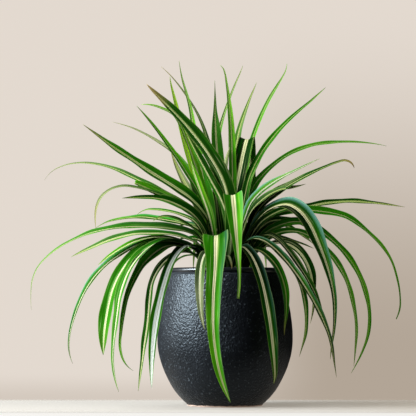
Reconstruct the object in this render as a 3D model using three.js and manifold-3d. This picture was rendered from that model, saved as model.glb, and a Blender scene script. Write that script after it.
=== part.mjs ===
import * as THREE from 'three';
import { mergeVertices } from 'three/addons/utils/BufferGeometryUtils.js';
import Module from 'manifold-3d';

// A spider plant in a round-bellied pot: a thrown pot with a rolled lip, a plug of potting
// soil, and four crowns of long striped leaves that rise, arch and hang over the rim.
// Millimetres, +Z up. The front faces -Y and the origin is the middle of the pot's base.

// The pot
const POT_HEIGHT = 137;
const POT_SIDES = 36;
const WALL = 5.5;
const POT_FLOOR = 7;
const FLOOR_RADIUS = 35;
const LIP_INNER = 50.5;
const NECK_HEIGHT = 126;
const FOOT_RADIUS = 37;

// Outline of the pot outside, from the foot up over the lip: radius, height
const POT_OUTLINE = [
  [FOOT_RADIUS, 0],
  [38.2, 2],
  [43.6, 7],
  [49.6, 14],
  [57, 26.5],
  [62.8, 40],
  [66.7, 55],
  [67.5, 71],
  [65.9, 89],
  [62.4, 108],
  [57.2, 130],
  [55.9, 131.6],
  [56.8, 133.2],
  [56.2, 136],
  [53.6, POT_HEIGHT],
  [LIP_INNER, 135],
];

// The soil
const GAP = 0.5;
const SOIL_TOP = 123;
const SOIL_RINGS = 5;
const HOLE_RADIUS = 9.2;
const HOLE_FLOOR = 107.6;
const HOLE_SIDES = 18;

// The crowns: where each stands, and the stub of stem that its leaves grow from
const CROWN_BOTTOM = 108;
const CROWN_TOP = 143;
const CROWN_RADIUS = 8.4;
const CROWN_SIDES = 16;
const ROOT_HEIGHT = 126;
const ROOT_OUT = 2;
const ROOT_WIDTH = 8;
const CROWNS = {
  front: [-2, -14],
  left: [-16, 2],
  right: [16, 0],
  back: [2, 17],
};

// A leaf blade: folded along its midrib, thicker there than at its edges
const FOLD = 20;
const EDGE_THICK = 0.62;
const RIB_THICK = 1.5;
const FULL_WIDTH = 9;
const TIP_WIDTH = 0.9;
const SEGMENT_LENGTH = 64;
const SEGMENT_TURN = 0.6;
const FEWEST_SEGMENTS = 5;
const FINE_STEPS = 72;
const SMOOTHING = 0.03;

// Leaf points are given as they look from the front at eye height, so that a point further
// back is also a little wider and higher: across from the left, down from the top, depth
// behind the middle of the pot, and the blade's width there
const EYE_DISTANCE = 2000;
const EYE_HEIGHT = 105;
const ACROSS_MIDDLE = 225;
const DOWN_FLOOR = 405;

// name, crown, turn of the blade at its root and at its tip in degrees, and points from the
// root to the tip: across, down, depth, width
const LEAVES = [
  ['left_broad', 'left', 45, 50, [
    [211, 226, 0, 10], [200, 208, -3, 14], [190, 198, -5, 15], [178, 189.5, -6, 15.5],
    [164, 180.5, -8, 15], [148, 170.5, -10, 13], [130, 158.3, -12, 9.8], [112, 146.3, -14, 8],
    [97, 135, -15, 4.2], [82.5, 124, -16, 0.9],
  ]],
  ['left_fine_tip', 'left', 30, 55, [
    [208, 224, 2, 9], [204, 204, 3, 9], [197, 190, 4, 9], [188, 175, 5, 8], [177, 158, 6, 7],
    [165, 141, 7, 5], [151, 122.5, 8, 3.4], [136.5, 105.5, 9, 0.9],
  ]],
  ['left_long_bow', 'left', 35, 35, [
    [196, 214, 12, 9], [177, 201.5, 22, 9], [160, 191.5, 32, 8.5], [145, 183.5, 42, 8],
    [130, 176, 52, 7], [114, 168.8, 61, 5.5], [97, 164.2, 69, 4], [80, 162.8, 75, 3.2],
    [64, 165.4, 80, 2.4], [52, 171, 83, 1.8], [44, 180, 84, 0.9],
  ]],
  ['left_hook', 'left', 45, 20, [
    [199, 222, -5, 7], [181, 206, -13, 7], [165, 197, -20, 7], [150, 191.5, -27, 6.5],
    [136, 187.7, -33, 6], [122, 186.4, -38, 5], [110, 189.8, -42, 4.4], [101, 197.2, -45, 4],
    [96.6, 207, -47, 3.4], [95.3, 217, -48, 2.6], [95.8, 228, -48, 0.9],
  ]],
  ['left_cut', 'left', 45, 45, [
    [200, 223, -8, 9], [184, 209, -13, 13], [168, 199, -17, 14], [152, 191, -21, 13],
    [143, 186.8, -23, 11], [134.5, 183, -25, 8],
  ]],
  ['left_point', 'left', 55, 40, [
    [204, 229, -9, 11], [192, 214, -15, 16], [180, 206.5, -20, 16], [167, 201, -25, 13],
    [154, 198.3, -30, 8.5], [140, 197.6, -34, 5.5], [130, 197.8, -37, 3.4], [122, 198.2, -40, 0.9],
  ]],
  ['left_back_thin', 'left', 20, 40, [
    [195, 222, 12, 5], [180, 214.5, 28, 4.6], [168, 211.2, 40, 4.2], [156, 209.7, 51, 3.8],
    [146, 210, 60, 3], [140, 212.5, 65, 2.2], [136, 215.5, 68, 0.9],
  ]],
  ['left_back_low', 'left', 25, 45, [
    [198, 229, 8, 9], [182, 223.5, 20, 9], [168, 220.5, 31, 9], [155, 218.6, 42, 8.5],
    [142, 217.2, 52, 7.5], [130, 217.9, 61, 6], [118, 219.4, 69, 4.4], [107, 222.2, 76, 3.2],
    [95, 228.5, 82, 0.9],
  ]],
  ['left_small', 'left', 30, 25, [
    [196, 231, -13, 7], [186, 224, -17, 7.5], [176, 218.8, -21, 7.5], [168, 216.8, -24, 6],
    [160, 217.4, -26, 4], [153, 221.3, -28, 0.9],
  ]],
  ['left_longest', 'left', 35, 20, [
    [201, 239, -7, 10], [187, 232, -10, 12.5], [170, 228.8, -14, 14], [152, 227.2, -18, 14],
    [136, 226.9, -21, 13.5], [120, 227.8, -24, 12], [105, 229.9, -27, 10], [90, 233.4, -29, 8],
    [75, 239.2, -31, 5.5], [60, 247, -33, 4.2], [47, 257, -34, 3.2], [38, 267, -35, 2.6],
    [32.5, 280, -35, 2], [31, 295, -35, 1.4], [31.5, 310, -34, 0.9],
  ]],
  ['left_pale', 'left', 35, 30, [
    [197, 244, -17, 7], [181, 237, -24, 9], [165, 234, -31, 10], [150, 233.8, -37, 10],
    [135, 234.2, -43, 10], [120, 237.2, -48, 9], [105, 242, -53, 7.5], [91, 248, -57, 5.5],
    [80, 252.8, -60, 3.4], [71, 257, -62, 0.9],
  ]],
  ['left_yellow_tip', 'left', 25, 20, [
    [190, 245, -20, 6.5], [168, 238, -33, 7], [150, 238, -42, 7.5], [136, 241.5, -49, 7],
    [122, 248.2, -56, 6.5], [110, 256, -61, 5], [98, 265, -66, 0.9],
  ]],
  ['left_droop', 'left', 30, 10, [
    [192, 248, -18, 8], [172, 240, -30, 9.5], [153, 240.3, -40, 10.5], [136, 246, -48, 10.5],
    [120, 254.8, -55, 10.5], [107, 264.3, -60, 9.5], [96.5, 274.5, -64, 8.5], [87, 288, -67, 7.5],
    [79.5, 303, -69, 6], [73.8, 319, -70, 4.6], [70, 335, -70, 3.6], [69.3, 348, -69, 2.8],
    [73, 363.5, -67, 0.9],
  ]],
  ['left_blade_low', 'left', 10, 20, [
    [195, 250, -20, 9], [177, 242, -32, 12], [159, 242, -44, 13.5], [144, 248, -54, 14],
    [131, 258.5, -62, 14], [120.5, 273, -68, 13.5], [113, 289, -72, 13.5], [109, 304, -75, 14],
    [106.3, 319, -76, 15], [104.6, 332, -77, 12.5], [103.8, 344, -77, 7.5], [103.5, 355, -77, 0.9],
  ]],
  ['left_glossy', 'left', 0, 0, [
    [197, 252, -22, 9], [181, 243, -36, 12], [164, 241, -50, 13.5], [150, 247, -60, 14],
    [138.5, 257.5, -68, 14], [130, 269.5, -74, 13.5], [124, 283, -79, 12.5], [120, 297, -82, 11],
    [117.8, 312, -84, 9], [115.8, 328, -85, 7.5], [113.8, 344, -86, 5.5], [113.2, 360, -86, 4],
    [115, 376, -86, 3.2], [119, 391.5, -85, 0.9],
  ]],
  ['left_folded', 'left', 35, 0, [
    [194, 255, -22, 9], [180, 246.5, -34, 13], [165, 247, -46, 17], [152, 255.5, -56, 17],
    [142, 266, -63, 11], [133.5, 281, -69, 7.5], [127.3, 297, -73, 6.5], [123.8, 313, -76, 5.5],
    [121.6, 330, -78, 4.4], [120.7, 348, -78, 3.6], [124, 360, -76, 3], [129, 367, -73, 2],
    [133.5, 370.5, -71, 0.9],
  ]],
  ['front_left_broad', 'left', 10, 0, [
    [204, 257, -12, 10], [196, 248, -26, 12.5], [186, 246.5, -38, 12.5], [177, 254.5, -47, 11.5],
    [170.5, 266, -54, 12], [165.5, 281, -58, 12], [161, 298, -61, 12.5], [157.5, 315, -62, 13],
    [155, 332, -62, 12], [153.3, 348, -62, 9.5], [152.4, 362, -62, 6.5], [152, 375, -61, 4.6],
    [152, 388, -60, 0.9],
  ]],
  ['front_left_narrow', 'left', 15, 5, [
    [201, 259, -8, 8], [188, 252.5, -22, 9], [176, 254, -34, 9.5], [166, 261, -43, 9.5],
    [157.5, 271.5, -49, 9], [152, 284, -52, 8.5], [150, 298, -54, 8.5], [148.8, 313, -55, 8.5],
    [147, 330, -55, 8.5], [144.6, 346, -55, 7.5], [142.6, 361, -54, 5], [140.5, 376, -53, 3.4],
    [138.4, 391, -52, 0.9],
  ]],
  ['left_low_dark', 'left', 20, 10, [
    [205, 252, 12, 7], [196, 249.5, 28, 8], [186, 249.5, 44, 7.5], [177, 253.5, 58, 6],
    [170, 261, 70, 3.4], [166, 272, 78, 0.9],
  ]],
  ['left_low_dark_small', 'left', 15, 10, [
    [203, 258, 14, 7], [195, 255.5, 28, 7.5], [186, 256, 42, 6.5], [178, 260, 54, 4.4],
    [172, 267, 63, 0.9],
  ]],
  ['left_lime', 'left', 25, 20, [
    [209, 226, 6, 7.5], [203.5, 206, 10, 7], [198, 188, 14, 6.5], [192, 169, 19, 6],
    [186, 149, 24, 5.8], [181, 128, 30, 5.6], [176.8, 109, 36, 4.6], [173.4, 95, 40, 3.2],
    [170.8, 84, 43, 2.2], [169.7, 76, 45, 0.9],
  ]],
  ['left_tall_back', 'left', 10, 5, [
    [212, 222, 12, 8.5], [208, 200, 19, 8.5], [203.5, 180, 28, 8.5], [199.5, 160, 39, 8],
    [196, 142, 50, 7], [193, 124, 62, 5.2], [190, 107, 74, 4], [186, 92, 84, 2.8], [182, 78, 93, 2],
    [179, 60, 102, 0.9],
  ]],
  ['left_striped', 'left', 50, 45, [
    [210, 224, 0, 8], [205.5, 202, -2, 9], [200, 181, -4, 9.5], [193.5, 161, -6, 9], [187, 142, -8, 8],
    [180, 125, -9, 6.5], [172, 113.5, -10, 5], [162, 108.2, -10, 4], [151.5, 104.8, -10, 3],
    [141, 104, -9, 0.9],
  ]],
  ['left_striped_short', 'left', -10, -10, [
    [212, 228, -3, 8], [208, 212, -6, 9], [202, 195, -9, 9], [196, 178, -12, 7.5], [191, 161, -14, 0.9],
  ]],
  ['left_grey_bow', 'left', 25, 20, [
    [208, 224, 14, 8], [201, 201, 28, 8], [193, 180, 44, 8], [183, 163.5, 58, 7], [172, 151.5, 70, 6],
    [159, 142.3, 81, 4.8], [146, 134.5, 90, 3.6], [132, 127.7, 98, 2.6], [122, 124.3, 104, 2],
    [112, 121.5, 110, 0.9],
  ]],
  ['left_pale_back', 'left', 15, 15, [
    [206, 222, 14, 8], [198, 206, 24, 8.5], [189, 191, 35, 8], [181, 176, 46, 6.5],
    [175.5, 164, 55, 4.4], [171, 152, 62, 0.9],
  ]],
  ['front_raised', 'front', -30, -25, [
    [231, 246, -18, 10], [230, 216, -27, 14.5], [227.5, 196, -32, 17], [221.5, 177, -38, 17.5],
    [213.5, 162, -43, 17], [204.5, 148, -47, 16], [193, 133, -50, 15], [181, 119, -53, 12],
    [170, 107.5, -56, 9.5], [160, 97.5, -58, 7], [152, 89.7, -60, 4.4], [146.3, 83.5, -61, 0.9],
  ]],
  ['front_slant', 'front', -25, -25, [
    [233, 250, -16, 9], [231, 232, -20, 10], [226.5, 214, -25, 10.5], [220, 197, -29, 10.5],
    [212, 182, -32, 10], [204, 167, -34, 9.5], [196, 152, -36, 7.5], [190, 140.5, -37, 5],
    [184.5, 129, -38, 0.9],
  ]],
  ['front_broad', 'front', 0, 0, [
    [222, 262, -22, 12], [219, 244, -34, 19], [216.5, 236, -47, 23.5], [216, 241, -61, 25],
    [215.8, 254, -71, 20.5], [215, 272, -77, 16], [213.7, 290, -81, 15.2], [213, 310, -84, 13.6],
    [213.2, 330, -86, 11.6], [215.2, 350, -88, 9.8], [218, 366, -89, 8.8], [222, 381, -90, 6.6],
    [226.5, 393, -91, 3.8], [230.5, 402, -91, 0.9],
  ]],
  ['front_second', 'front', 0, 0, [
    [229.5, 250, -16, 10], [232.5, 225, -22, 14], [233.8, 205, -30, 17], [233, 195.5, -40, 18.5],
    [233.6, 202, -52, 18.5], [234.8, 216, -60, 15.5], [236, 231, -66, 12], [237.2, 246, -70, 8.4],
    [238.3, 260, -73, 5.2], [239.2, 274, -75, 3.2], [239, 287, -76, 2.8], [237.8, 298.5, -76, 2.4],
  ]],
  ['front_short', 'front', 0, 0, [
    [217, 268, -22, 7], [212, 256, -36, 9], [206.5, 253, -50, 9.5], [202.3, 261, -61, 9.5],
    [200.4, 273, -67, 9.5], [199.8, 288, -71, 8.5], [200.3, 302, -73, 7], [201.6, 316, -74, 4.4],
    [204.8, 329.5, -75, 0.9],
  ]],
  ['front_right_long', 'front', 15, 20, [
    [231, 268, -22, 8], [235, 254, -30, 11], [242.5, 247.5, -40, 12.5], [249.5, 253.5, -48, 12.5],
    [255, 263, -54, 12.5], [260, 276, -58, 12.8], [264, 291, -61, 12.8], [267, 306, -63, 12.8],
    [269.5, 321, -65, 12.4], [271.5, 337, -66, 11], [273, 352, -66, 9], [274.2, 366, -65, 6.8],
    [274.5, 376, -64, 4.4], [273.5, 383.5, -63, 0.9],
  ]],
  ['front_curl', 'front', 0, 0, [
    [228, 266, -32, 3.4], [226, 256.5, -42, 3.2], [228.5, 256.5, -50, 2.8], [231, 263, -55, 2.2],
    [231.8, 269, -57, 0.9],
  ]],
  ['right_over_rim', 'right', 20, 15, [
    [246, 256, -14, 8], [253, 250, -22, 9.5], [262, 252, -30, 9.5], [270, 258.5, -37, 9.5],
    [277, 267.5, -42, 9.2], [282, 279, -45, 8.8], [285, 291, -46, 7.6], [286, 303, -47, 6],
    [285.7, 314, -47, 4.2], [284.5, 325, -47, 2.6], [284, 335, -47, 0.9],
  ]],
  ['right_straight', 'right', 20, 30, [
    [243, 212, 6, 9], [246, 192, 12, 9.5], [250, 177, 18, 9], [256.5, 162.5, 25, 8.2],
    [265, 148, 33, 7.6], [276, 133.7, 42, 6.8], [288, 121, 50, 5.2], [300, 110, 57, 4],
    [311, 100.8, 63, 3], [319, 93.5, 68, 2.2], [326, 87, 72, 0.9],
  ]],
  ['right_high_bow', 'right', 40, 30, [
    [245, 214, 8, 9], [249.5, 197, 14, 9.5], [255, 185, 20, 9], [263, 175, 28, 7.5],
    [272, 166.3, 37, 5.6], [284, 157.2, 48, 5.8], [297, 150.5, 58, 6.2], [312, 145.6, 68, 6.6],
    [328, 143.1, 76, 6.4], [345, 142.2, 83, 5.4], [362, 142.6, 89, 4], [376, 144, 93, 2.6],
    [387, 146, 96, 0.9],
  ]],
  ['right_silver', 'right', 45, 50, [
    [246, 216, -4, 8.5], [252, 202, -6, 10.5], [261, 192, -8, 11], [272, 183.7, -10, 8.2],
    [285, 175.9, -11, 4.8], [298, 169.4, -12, 3.2], [309, 163.8, -12, 2.4], [320, 158.5, -12, 0.9],
  ]],
  ['right_pale_short', 'right', 45, 45, [
    [247, 221, -9, 8], [253, 209.5, -13, 9.5], [262, 200.5, -17, 10], [272, 193.5, -21, 9.5],
    [283, 189, -25, 7], [294, 187.4, -29, 4.4], [306, 184, -32, 0.9],
  ]],
  ['right_dark_hook', 'right', 75, 45, [
    [252, 223, -3, 9.5], [259, 210, -9, 12], [267, 201, -14, 12.5], [277, 193.2, -20, 11.5],
    [288, 186.3, -26, 9], [300, 179.4, -32, 7], [313, 172.7, -38, 5.5], [326, 166.8, -43, 4.2],
    [337, 162.5, -47, 3.6], [346, 160.6, -50, 3.2], [351.5, 163, -52, 2.6], [354.5, 168, -53, 0.9],
  ]],
  ['right_level', 'right', 35, 35, [
    [257, 223, 8, 8.5], [269, 214.5, 19, 9], [282, 210.6, 30, 9], [296, 208.8, 41, 9],
    [310, 206.6, 51, 9], [325, 203.8, 60, 9], [342, 202.2, 68, 9], [358, 202.1, 75, 8.4],
    [374, 203.4, 81, 6.4], [390, 205.2, 86, 4], [405, 207.2, 90, 0.9],
  ]],
  ['right_far_droop', 'right', 40, 48, [
    [257, 227, 2, 9.5], [270, 217, 9, 11], [286, 212, 15, 12], [302, 210.6, 21, 12],
    [318, 211.6, 26, 12], [334, 213.8, 31, 11.5], [347, 217.8, 35, 10.5], [358, 224.6, 38, 8.4],
    [370, 234.8, 41, 7.2], [381, 246, 43, 6.4], [390, 259.5, 44, 5.4], [396, 277, 45, 4.2],
    [399.2, 295, 45, 3.4], [399, 308, 44, 3.4], [395.5, 319, 43, 1.6],
  ]],
  ['right_arch', 'right', 42, 22, [
    [250, 233, -10, 12], [261, 217, -18, 16], [274, 207.5, -26, 18], [288.5, 205.3, -34, 19],
    [299.5, 211.5, -40, 19.5], [308.5, 223, -44, 19], [315.5, 237, -48, 17], [321.3, 251, -51, 14],
    [326.3, 265, -53, 11], [330.7, 281, -55, 8], [333.5, 297, -56, 6], [334.2, 313, -56, 4.6],
    [333.3, 330, -55, 3.6], [331, 346, -54, 2.6], [330, 359, -53, 0.9],
  ]],
  ['right_outer_droop', 'right', 50, 60, [
    [264, 234, 4, 8.5], [281, 225, 10, 9.5], [298, 222, 16, 9.5], [312, 226, 22, 9.5],
    [325, 234.8, 27, 9.5], [338, 246.5, 31, 9.5], [349, 259.5, 35, 9.5], [357.5, 274, 38, 9],
    [363.5, 289, 40, 8], [367.3, 304, 41, 7], [368.5, 320, 41, 6], [366.7, 336, 40, 5],
    [362, 350, 39, 3.6], [356, 363, 37, 2.2], [350.5, 373, 36, 0.9],
  ]],
  ['right_inner_droop', 'right', 45, 50, [
    [266, 240, -2, 8], [283, 232, 3, 8.5], [300, 232.5, 8, 8.5], [314, 239.7, 13, 9],
    [327, 251.7, 17, 9.5], [337, 264.5, 20, 9.5], [344, 277, 22, 9], [348.8, 290, 23, 8],
    [352.3, 304, 24, 7], [354.7, 318, 24, 6], [355.5, 332, 23, 5], [354.6, 348, 22, 3.6],
    [353.3, 366, 21, 0.9],
  ]],
  ['right_back_striped', 'right', 60, 55, [
    [257, 229, 8, 8], [267, 222, 24, 9], [278, 222.3, 42, 9], [289, 227.8, 58, 9],
    [299, 233.8, 72, 8.5], [307, 239, 83, 5.5], [313, 244, 90, 0.9],
  ]],
  ['right_back_fine', 'right', 35, 40, [
    [261, 238, 6, 6], [272, 236, 20, 7], [285, 239, 36, 6.5], [297, 242.5, 51, 5], [307, 246, 64, 3.6],
    [314, 248.7, 73, 0.9],
  ]],
  ['right_back_thread', 'right', 20, 20, [
    [256, 236, 8, 4], [268, 232.6, 24, 4.6], [280, 231.2, 40, 4.2], [290, 231, 53, 3.2],
    [301, 233.5, 66, 0.9],
  ]],
  ['right_dark_back', 'right', 35, 50, [
    [259, 230, 2, 9], [270, 222, 12, 9.5], [283, 220.6, 24, 9.5], [295, 222, 35, 8.5],
    [304, 226, 43, 5.5], [312, 233, 50, 0.9],
  ]],
  ['right_dark_mid', 'right', 35, 30, [
    [254, 232, -3, 9], [262, 222, 2, 9.5], [272, 215, 8, 9.5], [283, 210.3, 14, 8.5], [293, 208, 20, 6],
    [305, 209, 27, 0.9],
  ]],
  ['right_cream_curve', 'right', 35, 10, [
    [262, 249, -8, 8.5], [275, 243.5, -14, 11], [287, 244.5, -19, 13.5], [297.5, 251, -23, 14],
    [305, 261, -26, 14], [309.6, 272, -28, 12.5], [312, 284, -29, 9], [313, 297, -29, 5.6],
    [312.4, 310, -29, 3.8], [310, 323.5, -28, 0.9],
  ]],
  ['right_diagonal', 'right', 20, 10, [
    [240, 254, -16, 7], [246, 243, -22, 8.5], [255, 239, -29, 9.5], [264, 241.3, -36, 9.5],
    [274, 248.5, -42, 9.5], [285, 260, -48, 9.5], [296, 274, -54, 9.5], [306.5, 290, -59, 9],
    [315.5, 305.5, -63, 8.4], [322.5, 320, -66, 7.4], [328, 334, -68, 5.6], [331.5, 348, -69, 4.2],
    [333.5, 361, -69, 2.8], [336, 377, -68, 0.9],
  ]],
  ['right_diagonal_upper', 'right', 20, 10, [
    [251, 246, -8, 7], [259, 237.5, -14, 9], [268, 235.3, -20, 9.5], [277, 239.6, -26, 9.5],
    [286, 248.8, -32, 9.5], [295, 260.5, -37, 9.5], [303.5, 273.5, -41, 9], [310.8, 286, -45, 7.6],
    [316.8, 299, -48, 5.6], [321, 312, -50, 3.8], [324, 326, -51, 0.9],
  ]],
  ['right_under', 'right', 25, 15, [
    [255, 253, -2, 7], [267, 246.5, -8, 8], [279, 252, -13, 8.5], [289.5, 264, -16, 8.5],
    [297.5, 279, -19, 8.5], [302, 292, -20, 8.5], [304.7, 306, -21, 8], [305.4, 321, -21, 7],
    [304.3, 336, -20, 5], [301.5, 347, -19, 3], [299, 356.5, -18, 0.9],
  ]],
  ['back_grey_tip', 'back', 15, 10, [
    [218, 215, 20, 7], [215, 190, 32, 7], [212, 165, 47, 6.4], [208, 143, 61, 5.4],
    [203.5, 128, 71, 4.2], [197, 113, 80, 3.2], [188, 98, 90, 2.6], [178, 84, 98, 2],
    [170, 74.5, 104, 1.6], [161, 66, 109, 0.9],
  ]],
  ['back_channel', 'back', 0, 0, [
    [226, 235, 16, 9], [222, 200, 22, 10], [219.5, 175, 27, 11.5], [217.4, 155, 31, 12],
    [216.2, 140, 34, 11.5], [215.5, 125, 38, 8.4], [215, 110, 42, 4], [215, 97, 45, 2.2],
    [214.8, 80, 49, 0.9],
  ]],
  ['back_bent_tip', 'back', 0, 0, [
    [231, 230, 14, 8], [232.3, 205, 15, 8.4], [232.5, 180, 17, 8.2], [232.2, 160, 20, 7.8],
    [231.7, 140, 24, 7.2], [231, 124, 28, 6.4], [229.7, 108, 33, 5], [228.3, 95, 38, 3.4],
    [226.5, 82, 43, 2.4], [225, 73, 47, 2], [223.6, 68.5, 49, 1.8], [220.3, 64.5, 52, 0.9],
  ]],
  ['back_thin_right', 'back', 0, 0, [
    [224, 222, 22, 8], [220, 195, 34, 8], [218, 170, 48, 7], [217.6, 150, 60, 5.6],
    [219.8, 130, 72, 4.4], [223.2, 117, 79, 3.4], [227, 105.5, 86, 2.8], [231, 94.5, 92, 2.4],
    [236, 82, 99, 2], [240, 73, 104, 1.6], [243, 65, 108, 0.9],
  ]],
  ['back_right_tall', 'back', 15, 10, [
    [232, 218, 22, 9], [233.5, 190, 34, 9.5], [235, 165, 45, 9], [237, 143, 54, 7.6],
    [240, 128, 60, 5.8], [243.7, 116, 64, 4.6], [247.6, 105, 68, 3.4], [251, 96, 71, 2.6],
    [254, 89, 74, 2], [256.8, 82, 76, 0.9],
  ]],
  ['back_folded_over', 'back', 0, 0, [
    [233.5, 220, 16, 12], [236, 192, 20, 15], [240, 172, 24, 16], [243.3, 155, 29, 16.5],
    [246, 143.5, 37, 16.5], [247.3, 139.5, 48, 15.5], [248.5, 144, 60, 14], [249.5, 156, 72, 12.5],
    [250.5, 174, 84, 10.5], [252, 197, 95, 8], [254, 221, 103, 5], [256, 246, 108, 0.9],
  ]],
  ['back_right_blade', 'back', 20, 20, [
    [239, 215, 20, 8.5], [242, 190, 28, 9], [245, 172, 35, 8.4], [248.2, 156, 42, 6.6],
    [252, 141, 49, 5.6], [257, 126.5, 56, 5], [263, 112, 62, 4.6], [270, 98, 68, 4.2],
    [277, 86, 73, 3.2], [282.5, 77, 77, 2.2], [286, 70, 80, 1.6], [287.3, 63, 82, 0.9],
  ]],
  ['back_teal', 'back', 0, 0, [
    [226, 225, 10, 7.5], [223, 202, 10, 8.5], [222.5, 184, 12, 8.5], [224, 169, 14, 6.6],
    [226.5, 157.5, 16, 4.4], [229.5, 147, 18, 0.9],
  ]],
];

// Leaves that fan out behind, hidden from the front by the rest: how many, how far they
// reach, how high they arch and where their tips hang, over a fan of directions
const BACK_FANS = [
  { count: 3, reach: 72, arch: 100, tip: 84, from: 58, to: 122, width: 9 },
  { count: 4, reach: 128, arch: 78, tip: 8, from: 66, to: 114, width: 12 },
  { count: 4, reach: 142, arch: 52, tip: -78, from: 74, to: 106, width: 13 },
];

// Along a leaf of a fan: share of its reach, of its arch and of its width
const FAN_PROFILE = [
  [0.1, 0.5, 0.9],
  [0.26, 0.86, 1],
  [0.5, 1, 1],
  [0.74, 0.86, 0.8],
  [0.9, 0.52, 0.45],
  [1, 0, 0],
];

const kit = await Module();
kit.setup();

// A closed geometry as a body that can be joined and cut
function solid(geometry) {
  geometry.deleteAttribute('normal');
  geometry.deleteAttribute('uv');
  const merged = mergeVertices(geometry, 1e-4);
  const corners = merged.index.array;
  const faces = [];
  for (let i = 0; i < corners.length; i += 3) {
    const [a, b, c] = corners.subarray(i, i + 3);
    if (a !== b && b !== c && c !== a) {
      faces.push(a, b, c);
    }
  }
  const vertProperties = merged.attributes.position.array;
  const triVerts = new Uint32Array(faces);
  return new kit.Manifold(new kit.Mesh({ numProp: 3, vertProperties, triVerts }));
}

// A body turned about the upright axis from a profile of radius and height
function turned(profile, sides) {
  const points = profile.map(([radius, height]) => new THREE.Vector2(radius, height));
  const geometry = new THREE.LatheGeometry(points, sides);
  geometry.rotateX(Math.PI / 2);
  return geometry;
}

// The pot's inside follows its outside, a wall's thickness in
function inside(shrink) {
  const wall = POT_OUTLINE.filter(([, height]) => height > POT_FLOOR + 3 && height < NECK_HEIGHT);
  return wall.map(([radius, height]) => [radius - WALL - shrink, height]);
}

function potBody() {
  const hollow = [[FLOOR_RADIUS, POT_FLOOR], ...inside(0), [LIP_INNER, NECK_HEIGHT + 3]];
  const profile = [[0, 0], ...POT_OUTLINE, ...hollow.reverse(), [0, POT_FLOOR]];
  return solid(turned(profile, POT_SIDES));
}

// Low mounds and dips of the soil's surface
function soilBump(x, y) {
  return 0.9 * Math.sin(0.21 * x + 0.6) * Math.cos(0.17 * y) + 0.5 * Math.sin(0.43 * x - 0.37 * y);
}

// The soil fills the pot, with a plain hole for the stub of each crown
function soilBody() {
  const bottom = POT_FLOOR + GAP;
  const rim = LIP_INNER + 1.6;
  const profile = [[0, bottom], [FLOOR_RADIUS - GAP, bottom], ...inside(GAP), [rim, SOIL_TOP - 1.2]];
  for (let ring = 1; ring <= SOIL_RINGS; ring++) {
    profile.push([rim * (1 - ring / SOIL_RINGS), SOIL_TOP]);
  }
  const geometry = turned(profile, POT_SIDES);
  const position = geometry.attributes.position;
  for (let i = 0; i < position.count; i++) {
    if (position.getZ(i) > SOIL_TOP - 0.1) {
      position.setZ(i, SOIL_TOP + soilBump(position.getX(i), position.getY(i)));
    }
  }
  let body = solid(geometry);
  for (const [x, y] of Object.values(CROWNS)) {
    const depth = 2 * (SOIL_TOP - HOLE_FLOOR);
    const hole = new THREE.CylinderGeometry(HOLE_RADIUS, HOLE_RADIUS, depth, HOLE_SIDES);
    hole.rotateX(Math.PI / 2);
    hole.translate(x, y, SOIL_TOP);
    body = body.subtract(solid(hole));
  }
  return body;
}

// A point as seen from the front, put in its place
function placed([across, down, depth]) {
  const spread = (EYE_DISTANCE + depth) / EYE_DISTANCE;
  const x = (across - ACROSS_MIDDLE) * spread;
  const z = EYE_HEIGHT + (DOWN_FLOOR - down - EYE_HEIGHT) * spread;
  return new THREE.Vector3(x, depth, z);
}

// The line of a leaf, started inside the stub of its crown
function leafLine(crown, points, widths) {
  const [x, y] = CROWNS[crown];
  const away = new THREE.Vector3(points[0].x - x, points[0].y - y, 0);
  away.setLength(ROOT_OUT);
  const root = new THREE.Vector3(x + away.x, y + away.y, ROOT_HEIGHT);
  const rootWidth = widths[0] > 6 ? ROOT_WIDTH : widths[0];
  return { points: [root, ...points], widths: [rootWidth, ...widths] };
}

// A leaf of a fan, arching out and down, with its reach and height varied a little
function fanLeaf(fan, i) {
  const share = (i + 0.5) / fan.count;
  const angle = THREE.MathUtils.degToRad(fan.from + (fan.to - fan.from) * share);
  const vary = Math.sin(5.1 * i + fan.reach);
  const reach = fan.reach * (1 + 0.1 * vary);
  const arch = fan.arch * (1 + 0.12 * Math.sin(2.7 * i + 1));
  const [x, y] = CROWNS.back;
  const points = [];
  const widths = [];
  for (const [out, up, wide] of FAN_PROFILE) {
    const late = THREE.MathUtils.smoothstep(out, 0.45, 1);
    const high = arch * up + fan.tip * (1 - up) * late;
    const far = reach * out;
    const away = new THREE.Vector3(far * Math.cos(angle), far * Math.sin(angle), high);
    points.push(away.add(new THREE.Vector3(x, y, ROOT_HEIGHT)));
    widths.push(Math.max(fan.width * wide, TIP_WIDTH));
  }
  return { turns: [8 * vary, -12 * vary], line: leafLine('back', points, widths) };
}

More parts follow.
